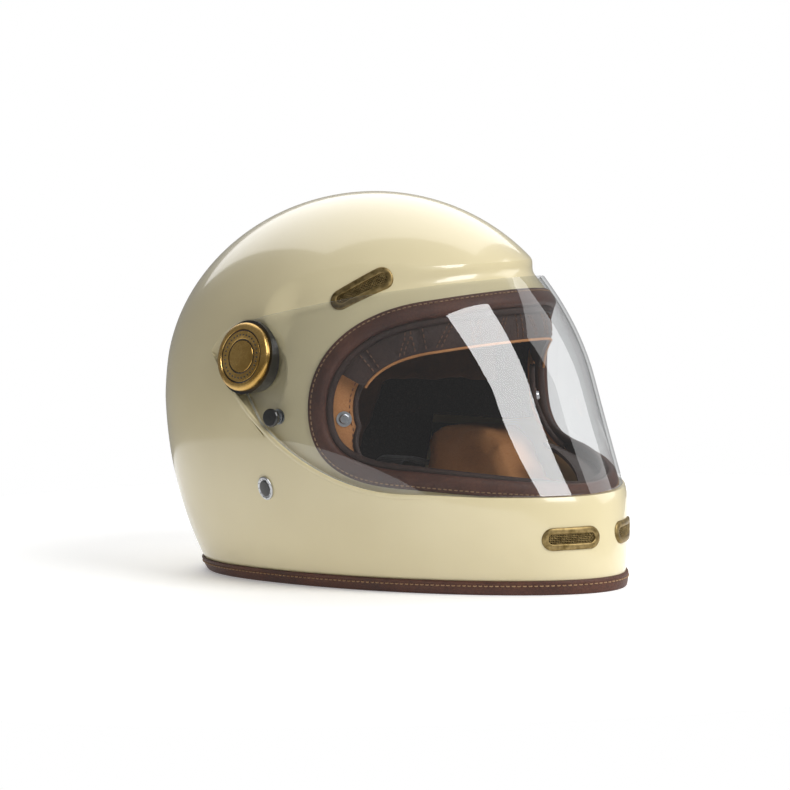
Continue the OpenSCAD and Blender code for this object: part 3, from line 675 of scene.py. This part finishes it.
LOOP, HALF_COUNT = eye_spots()


class EyeFrame:
    """Places round the eyeport, as distance into the opening and height off the surface."""

    def __init__(self, spots):
        a, z = spots.T
        self.p, self.n = egg(a, z), egg_normal(a, z)
        t = frames_along(self.p, True)
        for _ in range(3):
            t = unit(np.roll(t, 1, 0) + 2 * t + np.roll(t, -1, 0))
        self.b = unit(np.cross(t, self.n))
        self.depth = np.sum((self.p - egg(a, z, 10.0)) * self.n, -1) / 10

    def at(self, into, off):
        lift = (off * self.depth - into * into / 280)[:, None]
        return self.p + into * self.b + lift * self.n

    def rings(self, section, rows=None):
        rings = np.stack([self.at(into, off) for into, off in section], 1)
        return rings if rows is None else rings[rows]


EYE = EyeFrame(LOOP)
COUNT = len(LOOP)
FACE, BACK = -RECESS, -RECESS - SHELL_WALL


def side_row(height, lower):
    """Row of the loop on the left side nearest a height, above or below its rear point."""
    z = EYE.p[:HALF_COUNT, 2]
    y = EYE.p[:HALF_COUNT, 1]
    middle = int(np.argmax(y))
    rows = np.arange(middle, HALF_COUNT) if lower else np.arange(0, middle + 1)
    return int(rows[np.argmin(np.abs(z[rows] - height))])


# ---- shell ----

def eye_outline(into):
    """Side-view outline of the opening at a distance inside the trim's outer edge."""
    half = EYE.at(into, 0.0)[:HALF_COUNT, 1:]
    return list(half) + [[OPEN_FRONT, half[-1][1]], [OPEN_FRONT, half[0][1]]]


def recess_tool():
    """Cutter of the visor's recess: its outline down to the floor, with a round pocket per ear."""
    tool = across("recess", recess_outline(RECESS_GAP, 14))
    boolean(tool, egg_solid("recess_floor", 0, -2.0, 320, 120, recess_drop))
    for side in (LEFT, RIGHT):
        pocket = [(EAR_FLOOR, EAR_RADIUS + 1), (EAR_FLOOR + 30, EAR_RADIUS + 1)]
        boolean(tool, turned("recess_pocket", side, pocket), "UNION")
        dish = pivot_dish("recess_dish", side, EAR_FLOOR, 25.9)
        low = ear_point(EAR_RADIUS + 2, EAR_LOW)
        above = across("recess_above", [low + [60, 62], low - [190, 196], [OPEN_FRONT, -100],
                                        [OPEN_FRONT, 320], [200, 320]])
        boolean(tool, boolean(dish, above, "INTERSECT"), "UNION")
    return tool


def stadium(length, height, count=120):
    """Outline of a slot with round ends, and its outward normals, in the slot's plane."""
    r, half = height / 2, (length - height) / 2
    total = 4 * half + 2 * np.pi * r
    points, normals = [], []
    for s in np.arange(count // 2) / count * total:
        if s < 2 * half:
            n, p = (0, 1), (half - s, r)
        else:
            turn = np.pi / 2 + (s - 2 * half) / r
            n = (math.cos(turn), math.sin(turn))
            p = (-half + r * n[0], r * n[1])
        points.append(p)
        normals.append(n)
    points, normals = np.array(points), np.array(normals)
    return np.vstack([points, -points]), np.vstack([normals, -normals])


class Patch:
    """A place on the shell's outside with its own plane: u along, v across, n outwards."""

    def __init__(self, y, z, side, direction, tree):
        a, z = spot(y, z, side)
        self.p, self.n = egg(a, z), egg_normal(a, z)
        d = np.array(direction, float)
        self.u = unit(d - self.n * (d @ self.n))
        self.v = np.cross(self.n, self.u)
        self.tree = tree

    def on(self, points, height):
        """Points of the plane put on the shell's face, raised by a height."""
        result = []
        for (u, v), h in zip(points, np.broadcast_to(height, len(points))):
            q = self.p + self.u * u + self.v * v
            start = Vector((q + self.n * 15 + [0, PIVOT_Y, 0]) * MM)
            hit = self.tree.ray_cast(start, Vector(-self.n))[0]
            fall = 15 if hit is None else (start - hit).length / MM
            result.append(q + self.n * (15 - fall + h))
        return np.array(result)

    def flat(self, points, height):
        return self.p + np.outer(points[:, 0], self.u) + np.outer(points[:, 1], self.v) \
            + np.multiply.outer(np.broadcast_to(height, len(points)), self.n)


def build_shell():
    """Makes the shell, and returns the vents' places on its face."""
    shell = boolean(egg_solid("shell", 0, 2.2, 320, 120), recess_tool())
    tree = BVHTree.FromObject(shell, bpy.context.evaluated_depsgraph_get())
    vents = []
    for side, name in SIDES:
        brow = Patch(-66, 198, side, (-side * 28, -27.5, 17), tree)
        chin = Patch(-192, 36, side, (side * 33, 19, 0), tree)
        vents += [(f"brow_vent_frame_{name}", f"brow_vent_mesh_{name}", brow, BROW_VENT),
                  (f"chin_vent_frame_{name}", f"chin_vent_mesh_{name}", chin, CHIN_VENT)]
    hollow = egg_solid("hollow", SHELL_WALL, -2.0, 128, 56)
    boolean(hollow, across("hollow_front", recess_outline(RECESS_GAP + SHELL_WALL, 0)))
    boolean(hollow, egg_solid("hollow_deep", RECESS + SHELL_WALL, -2.0, 128, 56), "UNION")
    for side in (LEFT, RIGHT):
        boolean(hollow, pivot_dish("hollow_dish", side, EAR_FLOOR - SHELL_WALL, 27.5))
    boolean(shell, hollow)
    cut = EYE.rings([(9.3, -16), (9.3, 6), (23, 6), (23, -16)])
    boolean(shell, mesh_object("eye_cut", *loft(cut, loop=True), angle=0))
    boolean(shell, across("eye_middle", eye_outline(17)))
    for _, _, patch, length in vents:
        outline, _ = stadium(length - 7, VENT_HEIGHT - 5.2, 64)
        rings = [patch.flat(outline, h) for h in (-15.0, 15.0)]
        boolean(shell, mesh_object("vent_cut", *loft(rings), angle=0))
    for side in (LEFT, RIGHT):
        boolean(shell, turned("bush_hole", side, [(100, 5.1), (120, 5.1)], 48))
    a, z = spot(*KNOB_SPOT, RIGHT)
    p, n = egg(a, z), egg_normal(a, z)
    disc = disc_rings(p, n, [(5.15, -RECESS - 1.7), (5.15, -RECESS + 1.0)])
    boolean(shell, mesh_object("magnet_seat", *loft(disc), angle=0))
    tidy_normals(shell, 28)
    finish_piece(shell, CREAM, replaced=["outer_shell"])
    return vents


def plane_axes(n):
    """Two unit directions across a normal, the first of them level."""
    u = unit(np.cross(UP, n))
    return u, np.cross(n, u)


def disc_rings(p, n, profile, sides=64, stretch=1.0):
    """Rings round an axis at p along n from (radius, height) points."""
    u, v = plane_axes(n)
    turn = 2 * np.pi * np.arange(sides) / sides
    return [p + n * h + r * (np.cos(turn)[:, None] * u + stretch * np.sin(turn)[:, None] * v)
            for r, h in profile]


def studs(p, n, count, reach, profile, sides, stretch=1.0):
    """Points and faces of a ring of small round studs about p."""
    u, v = plane_axes(n)
    parts = []
    for turn in 2 * np.pi * np.arange(count) / count:
        centre = p + reach * (math.cos(turn) * u + stretch * math.sin(turn) * v)
        parts.append(loft(disc_rings(centre, n, profile, sides)))
    return joined(parts)


def recess_lip():
    """Rounded bead of the shell along the recess's lower edge and up round the ears."""
    edge = np.array([q for q in low_edge(1.25)[::-1] if q[0] > -190])
    parts = []
    for side in (LEFT, RIGHT):
        a, z = spot(edge[:, 0], edge[:, 1], side)
        path, n = egg(a, z), egg_normal(a, z)
        along = frames_along(path)
        inward = np.cross(n, along) * side
        taper = smooth(np.linspace(0, 8, len(edge))[::-1]) * smooth(np.linspace(0, 8, len(edge)))
        turn = np.linspace(0, 2 * np.pi, 14, endpoint=False)
        rings = path[:, None] - 0.35 * n[:, None] \
            + taper[:, None, None] * (1.7 * np.cos(turn)[None, :, None] * inward[:, None]
                                      + 0.85 * np.sin(turn)[None, :, None] * n[:, None])
        parts.append(loft(rings))
    piece("shell_lip", joined(parts), CREAM, angle=0)


# ---- visor ----

def visor_block(name, inset, plane, shift, z0):
    shoulder = 29.5 - shift
    block = egg_solid(name, inset, z0, 288, 100)
    for side in (LEFT, RIGHT):
        ear = turned(name + "_ear", side, [(plane - 16, shoulder + 16 / 0.7), (plane, shoulder)])
        boolean(block, ear, "UNION")
        boolean(block, pivot_dish(name + "_dish", side, plane, 25.5 + shift))
    return block


def build_visor():
    visor = visor_block("visor_sheet", VISOR_INSET, EAR_FACE, 0, 40.0)
    boolean(visor, visor_block("visor_inner", VISOR_INSET + VISOR_WALL, EAR_FACE - VISOR_WALL, 0.5,
                               40 - VISOR_WALL))
    boolean(visor, across("visor_cut", visor_outline(0)), "INTERSECT")
    for side in (LEFT, RIGHT):
        hole = [(x, EYELET_RADIUS + 0.05) for x in (100, 130)]
        boolean(visor, turned("eyelet_hole", side, hole))
    a, z = spot(*KNOB_SPOT, RIGHT)
    hole = disc_rings(egg(a, z), egg_normal(a, z), [(2.6, -8.0), (2.6, 8.0)], 32)
    boolean(visor, mesh_object("knob_hole", *loft(hole), angle=0))
    tidy_normals(visor, 22)
    finish_piece(visor, CLEAR, "visor_assembly", ["visor"])
    visor.data.materials.append(CUT_EDGE)
    centre = np.array([f.center for f in visor.data.polygons]) / MM - [0, PIVOT_Y, 0]
    normal = np.array([f.normal for f in visor.data.polygons])
    _, rear, front = reaches(centre[:, 2], 0.0)
    y = centre[:, 1] / np.where(centre[:, 1] < 0, front, rear)
    a = np.arctan2(y, np.sign(centre[:, 0]) * np.sqrt(np.maximum(1 - y * y, 1e-6)))
    across_sheet = np.abs(np.sum(normal * egg_normal(a, centre[:, 2]), -1))
    visor.data.polygons.foreach_set("material_index", (across_sheet < 0.45).astype(int))


# ---- leather trims and linings ----

def build_trim():
    section = [(0.0, FACE + 0.45), (0.0, FACE + 0.9), (0.35, FACE + 1.35), (1.1, FACE + 1.55),
               (2.0, FACE + 1.42), (2.7, FACE + 1.42), (3.6, FACE + 1.75), (5.4, FACE + 2.05),
               (7.4, FACE + 2.1), (9.2, FACE + 1.75), (10.5, FACE + 0.95), (11.2, FACE - 0.3),
               (11.35, FACE - 1.7), (11.0, BACK - 0.5), (10.2, BACK - 1.3), (8.6, BACK - 1.6),
               (3.0, BACK - 1.6), (3.0, BACK - 0.45), (9.9, BACK - 0.45), (9.9, FACE + 0.45)]
    piece("eyeport_leather", loft(EYE.rings(section), loop=True), TRIM,
          ["eyeport_trim"], 50)
    rows = stitches(EYE.at(2.35, FACE + 1.42), EYE.n, True, 3.5, 2.3)
    piece("eyeport_stitches", rows, STITCH)
    turn = np.linspace(0, 2 * np.pi, 14, endpoint=False)
    roll = [(11.9 + 2.6 * math.cos(a), BACK - 2.4 + 2.6 * math.sin(a)) for a in turn]
    piece("eyeport_piping", loft(EYE.rings(roll[::-1]), loop=True), QUILT, angle=0)


def build_rim():
    outer = [(-1.0, 0.0), (-1.55, 0.5), (-1.8, 1.4), (-2.0, 3.2), (-2.05, 5.2), (-1.85, 5.9),
             (-1.85, 6.6), (-2.0, 7.4), (-1.8, 8.7), (-1.2, 9.35), (-0.4, 9.5)]
    inner = [(-0.05, 9.3), (-0.05, 2.1), (3.55, 2.1), (3.55, 8.3), (4.0, 8.6), (4.7, 8.5), (5.1, 8.0),
             (5.15, 1.0), (4.8, 0.3), (4.2, 0.0)]
    a = -2 * np.pi * np.arange(320) / 320
    rings = np.stack([egg(a, z, inset) for inset, z in outer + inner], 1)
    piece("rim_leather", loft(rings, loop=True), TRIM, ["rim_trim"], 50)
    flat = np.full(len(a), 6.25)
    rows = stitches(egg(a, flat, -1.9), egg_normal(a, flat), True, 3.6, 2.4)
    piece("rim_stitches", rows, STITCH)


def panel(name, rows, reach, depth, thick, material, replaced, crown=1.2, seams=(), taper=0.0,
          mirror=False):
    """Padded panel sloping from the trim's roll to its free edge, sewn through at its seams."""
    start, end = np.array([4.5, -12.0]), np.array([reach, -depth])
    slope = end - start
    out = np.array([-slope[1], slope[0]]) / np.linalg.norm(slope)
    steps = np.linspace(0, 1, 13)
    section = []
    for t in steps:
        section.append(start + slope * t + out * crown * 4 * t * (1 - t))
    for t in steps[::-1]:
        section.append(start + slope * t - out * thick * (0.55 + 0.45 * math.sin(math.pi * t)))
    along = np.linspace(0, 1, len(rows))
    rings = EYE.rings(section, rows % COUNT)
    if taper:
        keep = 1 - 0.85 * smooth((along - 1 + taper) / taper)[:, None, None]
        rings = rings[:, :1] + (rings - rings[:, :1]) * keep
    lift = np.zeros(len(rows))
    for seam in seams:
        lift -= np.exp(-((along - seam) / 0.006) ** 2)
    normal = unit(EYE.n * out[1] + EYE.b * out[0])[rows % COUNT]
    weight = np.concatenate([np.sin(np.pi * steps) ** 0.5, np.zeros(13)])
    rings = rings + (lift[:, None] * weight[None])[..., None] * normal[:, None] * 1.1
    if mirror:
        rings = rings * [-1, 1, 1]
    piece(name, loft(rings), material, replaced, 50)
    return rings, normal * ([-1, 1, 1] if mirror else 1)


def build_linings():
    upper, lower = side_row(151, False), side_row(70.5, True)
    around = np.arange(-upper, upper + 1)
    seams = np.array([0.09, 0.22, 0.355, 0.5, 0.645, 0.78, 0.91])
    rings, normal = panel("brow_band", around, 29, 19, 6, QUILT, ["brow_lining"],
                          2.2, seams)
    sewn = []
    for seam in seams:
        row = int(round(seam * (len(around) - 1)))
        for step in (-2, 2):
            line = rings[row + step, 1:12] + normal[row] * 0.1
            sewn.append(stitches(line, np.tile(normal[row], (11, 1)), False, 3.2, 2.2))
    columns = np.arange(1, 12)
    for start in (0.52, 0.60, 0.68, 0.76):
        for lean in (LEFT, RIGHT):
            middle = len(around) // 2
            rows = middle + lean * np.round((start - 0.5) * len(around) + columns * 0.9).astype(int)
            for gap in (0, 2):
                line = rings[rows + lean * gap, columns]
                sewn.append(stitches(line, normal[rows + lean * gap], False, 3.2, 2.2))
    edge = rings[:, 12]
    piece("brow_seams", joined(sewn), DARK_STITCH)
    piece("brow_piping", tube(edge, normal, 0.9), TAN)
    jaw = np.arange(lower, 2 * (HALF_COUNT - 1) - lower + 1)
    panel("jaw_band", jaw, 10, 31, 4, QUILT, ["chin_lining"], 0.8)
    flank = np.arange(upper, lower + 1)
    for side, name in SIDES:
        rings, normal = panel(f"side_panel_{name}", flank, 23, 25, 4, TAN,
                              [f"side_lining_{name}"], 0.9, taper=0.5, mirror=side < 0)
        piece(f"side_piping_{name}", tube(rings[:, 12], normal, 1.9, 12), QUILT)
        rows = stitches(rings[:, 10] + normal * 0.05, normal, False, 3.6, 2.3, 0.34)
        piece(f"side_seam_{name}", rows, DARK_STITCH)


# ---- vents, badge, caps ----

def build_vent(frame_node, mesh_node, patch, length):
    outline, out = stadium(length, VENT_HEIGHT)
    profile = [(0.0, -0.5), (0.0, 0.5), (0.3, 0.95), (0.9, 1.25), (2.2, 1.4), (3.5, 1.35),
               (3.95, 1.1), (4.15, 0.6), (4.2, -0.6), (4.3, -2.4)]
    rings = np.stack([patch.on(outline - out * d, 0.0) + patch.n * h for d, h in profile], 1)
    piece(frame_node + "_bezel", loft(rings, loop=True), AGED, [frame_node])
    half_u, half_v = length / 2 - 4.1, VENT_HEIGHT / 2 - 4.1
    pitch, wire, sink = 1.15, 0.26, 0.35
    parts = []

    def lay(u, v, over):
        line = np.column_stack(np.broadcast_arrays(u, v))
        parts.append(tube(patch.on(line, sink + over), np.tile(patch.n, (len(line), 1)), wire, 5))

    for index, v in enumerate(np.arange(-half_v + 0.3, half_v, pitch)):
        reach = half_u - half_v + math.sqrt(max(0.0, half_v ** 2 - v * v))
        u = np.arange(-reach, reach + 0.01, pitch / 2)
        lay(u, v, wire * np.cos(np.pi * (u / pitch + index)))
    for index, u in enumerate(np.arange(-half_u + 0.5, half_u, pitch)):
        over_end = max(0.0, abs(u) - (half_u - half_v))
        reach = math.sqrt(max(0.05, half_v ** 2 - over_end ** 2))
        v = np.linspace(-reach, reach, max(3, int(4 * reach / pitch)))
        lay(u, v, -wire * np.cos(np.pi * (v / pitch + index)))
    piece(mesh_node + "_wires", joined(parts), AGED, [mesh_node], 0)


def build_badge():
    """Plain oval plate with a rounded rim; nothing is written on it."""
    a, z = spot(*BADGE_SPOT, RIGHT)
    p, n = egg(a, z), egg_normal(a, z)
    stretch = 1.33
    profile = [(6.0, 0.1), (6.0, 1.0), (5.7, 1.35), (5.2, 1.45), (4.8, 1.3), (4.6, 1.05), (2.5, 1.2),
               (0.01, 1.3)]
    dome = [(4.1, 1.0), (4.0, 1.5), (3.0, 1.75), (0.01, 1.85)]
    mark = [(0.34, 1.0), (0.34, 1.5), (0.01, 1.55)]
    piece("badge_plate", loft(disc_rings(p, n, profile, 72, stretch)), STEEL,
          ["side_badge"], 50)
    piece("badge_centre", loft(disc_rings(p, n, dome, 72, stretch)), BLACK)
    piece("badge_marks", studs(p, n, 12, 4.95, mark, 8, stretch), BLACK)


def cap_frame(side):
    axis = np.array([side * math.cos(CAP_TILT), 0, math.sin(CAP_TILT)])
    return np.array([side * CAP_SEAT, 0, PIVOT_Z]), axis


def build_caps():
    """Turned brass covers: bevelled rim, grooves, a ring of round pips and a domed boss."""
    profile = [(22.0, 0.05), (22.4, 0.6), (22.4, 2.5), (22.1, 3.3), (21.3, 4.1), (20.2, 4.6), (18.6, 4.9),
               (17.9, 4.85), (17.65, 4.5), (17.6, 3.9), (16.9, 3.85), (16.8, 4.3), (16.5, 4.6), (11.8, 4.6),
               (11.5, 4.4), (11.4, 3.9), (10.7, 3.85), (10.6, 4.3), (10.3, 4.62), (6, 4.72), (0.01, 4.75)]
    pip = [(0.62, 4.5), (0.6, 4.75), (0.42, 4.93), (0.01, 5.0)]
    for side, name in SIDES:
        p, n = cap_frame(side)
        piece(f"cap_{name}", loft(disc_rings(p, n, profile, 160)), BRASS[side],
              [f"pivot_cap_{name}"], 35)
        piece(f"cap_pips_{name}", studs(p, n, 32, 14.15, pip, 10), BLACK)
        u, v = plane_axes(n)
        turn = 2 * np.pi * np.arange(160) / 160
        round_path = np.cos(turn)[:, None] * u + np.sin(turn)[:, None] * v
        fills = [tube(p + r * round_path + 4.0 * n, np.tile(n, (160, 1)), 0.42, 8, closed=True)
                 for r in (17.22, 11.05)]
        piece(f"cap_grooves_{name}", joined(fills), BLACK)


# ---- straps ----

def webbing_sweep(name, path, replaced):
    """Flat webbing along a path of [x, z] points, with rounded selvedges."""
    path = np.asarray(path, float)
    length = np.concatenate([[0], np.cumsum(np.linalg.norm(np.diff(path, axis=0), axis=1))])
    at = np.linspace(0, length[-1], int(length[-1] / 1.5))
    line = np.column_stack([np.interp(at, length, path[:, 0]), np.interp(at, length, path[:, 1])])
    for _ in range(2):
        line[1:-1] = (line[:-2] + 2 * line[1:-1] + line[2:]) / 4
    along = unit(np.gradient(line, axis=0))
    out = np.column_stack([-along[:, 1], along[:, 0]])
    half_w, half_t = STRAP_WIDTH / 2, STRAP_THICK / 2
    y = np.concatenate([np.linspace(-half_w, half_w, 13), np.linspace(half_w, -half_w, 13)])
    edge = np.where(np.abs(y) > half_w - 1, 0.55, 1.0) * half_t
    h = np.concatenate([edge[:13], -edge[13:]])
    rib = 0.06 * np.cos(2 * np.pi * at / 3.0)
    rings = []
    for p, o, r in zip(line, out, rib):
        reach = h + r * np.sign(h)
        rings.append(np.column_stack([p[0] + o[0] * reach, STRAP_Y + y, p[1] + o[1] * reach]))
    piece(name, loft(rings), WEBBING, replaced, 50)


def strap_start(side, reach):
    path = [(side * reach, 87.0), (side * reach, 69.0)]
    curve = bezier((reach, 66), (reach, 44), (HANG_X, 84), (HANG_X, 60), np.linspace(0.1, 1, 19))
    return path + [(side * x, z) for x, z in curve]


def build_straps():
    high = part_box("strap_left")[1]
    reach = high.x / MM - STRAP_THICK / 2
    turn = np.linspace(math.pi / 2, math.pi / 2 + 1.86 * math.pi, 40)
    ring = LOOP_HOLE + STRAP_THICK / 2
    loop = [(HANG_X + ring * math.cos(a), LOOP_Z + ring * math.sin(a)) for a in turn]
    webbing_sweep("chin_strap_left", strap_start(LEFT, reach) + [(HANG_X, LOOP_Z + ring + 3)] + loop,
                  ["strap_left"])
    bend = 12.0
    curve = [(-HANG_X + bend + bend * math.cos(a), 4 + bend + bend * math.sin(a))
             for a in np.linspace(math.pi, 1.5 * math.pi, 12)]
    webbing_sweep("chin_strap_right", strap_start(RIGHT, reach) + [(-HANG_X, 40)] + curve + [(34, 4.0)],
                  ["strap_right"])


# ---- pads, swollen by cloth simulation ----

def voxel_copy(node, size, shrink):
    """A closed, evenly meshed copy of a CAD soft solid, a little smaller than it."""
    obj = new_object(node + "_pad", NODES[node].data.copy())
    obj.data.materials.clear()
    remesh = obj.modifiers.new("even", "REMESH")
    remesh.mode, remesh.voxel_size = "VOXEL", size * MM
    mesh = applied(obj)
    obj.data = mesh
    normals = np.array([v.normal for v in mesh.vertices])
    points = np.array([v.co for v in mesh.vertices]) - normals * shrink * MM
    mesh.vertices.foreach_set("co", points.ravel())
    mesh.update()
    return obj


def swell(obj, cap):
    """Runs the cloth, keeps each point within cap millimetres of its start, and applies it."""
    scene = bpy.context.scene
    start = np.array([v.co for v in obj.data.vertices])
    cloth = obj.modifiers.new("cloth", "CLOTH")
    cloth.settings.use_pressure = True
    cloth.settings.uniform_pressure_force = 4.0
    cloth.settings.effector_weights.gravity = 0.0
    cloth.settings.quality = 5
    cloth.point_cache.frame_start, cloth.point_cache.frame_end = 1, 20
    for number in range(1, 21):
        scene.frame_set(number)
    mesh = applied(obj)
    end = np.array([v.co for v in mesh.vertices])
    move = end - start
    length = np.linalg.norm(move, axis=1, keepdims=True)
    points = start + move * np.minimum(1, cap * MM / np.maximum(length, 1e-9))
    mesh.vertices.foreach_set("co", points.ravel())
    mesh.update()
    obj.data = mesh
    scene.frame_set(1)


def pad(node, material, size, shrink, cap):
    """A soft CAD node made round, and swollen by the cloth."""
    obj = voxel_copy(node, size, shrink)
    swell(obj, cap)
    smooth_out = obj.modifiers.new("round", "SUBSURF")
    smooth_out.levels = smooth_out.render_levels = 1
    relax = obj.modifiers.new("relax", "SMOOTH")
    relax.iterations = 3
    mesh = applied(obj)
    obj.data = mesh
    mesh.shade_smooth()
    finish_piece(obj, material, replaced=[node])


def build_pads():
    for side in ("left", "right"):
        pad(f"cheek_pad_{side}", TAN, 5, 1.5, 3)
    pad("neck_roll", QUILT, 4, 0.6, 2.0)
    pad("crown_comfort_liner", SUEDE, 4, 0.8, 2.0)


# ---- CAD nodes that stay, with their materials ----

def paint_nodes():
    groups = [(FOAM, ["foam_crown_liner", "foam_chin_liner"]),
              (BLACK, ["lift_knob", "pivot_bush_left", "pivot_bush_right", "base_ring_left",
                       "base_ring_right"]),
              (STEEL, ["lining_snaps", "visor_eyelet_left", "visor_eyelet_right", "knob_rivet",
                       "catch_magnet", "pivot_screw_left", "pivot_screw_right", "strap_anchors",
                       "strap_end_snap", "d_ring_outer", "d_ring_inner"]),
              (AGED, ["pivot_insert_left", "pivot_insert_right"])]
    for material, names in groups:
        for name in names:
            mesh = NODES[name].data
            mesh.materials.clear()
            mesh.materials.append(material)


# ---- stage ----

def add_stage():
    turn = 2 * np.pi * np.arange(96) / 96
    rim = 0.6 * np.column_stack([np.cos(turn), np.sin(turn), np.zeros(96)])
    mesh = bpy.data.meshes.new("floor")
    mesh.from_pydata(rim.tolist(), [], [list(range(96))])
    floor = new_object("floor", mesh)
    p = Paint("pale_floor", Roughness=0.6, Specular_IOR_Level=0.1)
    p.colour(p.noise(3), [(0.3, (0.93, 0.93, 0.93)), (0.7, (0.96, 0.96, 0.96))])
    p.shader.inputs["Emission Color"].default_value = (1, 1, 1, 1)
    p.shader.inputs["Emission Strength"].default_value = 0.25
    mesh.materials.append(p.material)
    world = bpy.data.worlds.new("studio")
    world.use_nodes = True
    background = world.node_tree.nodes["Background"]
    background.inputs["Color"].default_value = (1.0, 1.0, 1.0, 1)
    lit_by, shown = 0.24, 1.0
    strength = world.node_tree.nodes.new("ShaderNodeMapRange")
    seen = world.node_tree.nodes.new("ShaderNodeLightPath").outputs["Is Camera Ray"]
    world.node_tree.links.new(seen, strength.inputs["Value"])
    strength.inputs["To Min"].default_value, strength.inputs["To Max"].default_value = lit_by, shown
    world.node_tree.links.new(strength.outputs["Result"], background.inputs["Strength"])
    bpy.context.scene.world = world
    bpy.context.scene.view_settings.view_transform = "Standard"
    centre = Vector((0, -0.115, 0.12))
    lamps = [("softbox", (-0.07, -1.49, 1.28), 0.95, 1.3, 29), ("side", (1.5, -0.9, 0.9), 1.2, 1.2, 8),
             ("back", (0.9, 1.0, 1.7), 2.4, 2.4, 30)]
    for name, place, width, height, power in lamps:
        light = bpy.data.lights.new(name, "AREA")
        light.shape, light.size, light.size_y, light.energy = "RECTANGLE", width, height, power
        lamp = new_object(name, light)
        lamp.location = place
        lamp.rotation_euler = (centre - Vector(place)).to_track_quat("-Z", "Y").to_euler()


vents = build_shell()
recess_lip()
build_visor()
build_trim()
build_rim()
build_linings()
for vent in vents:
    build_vent(*vent)
build_badge()
build_caps()
build_straps()
build_pads()
paint_nodes()
add_stage()
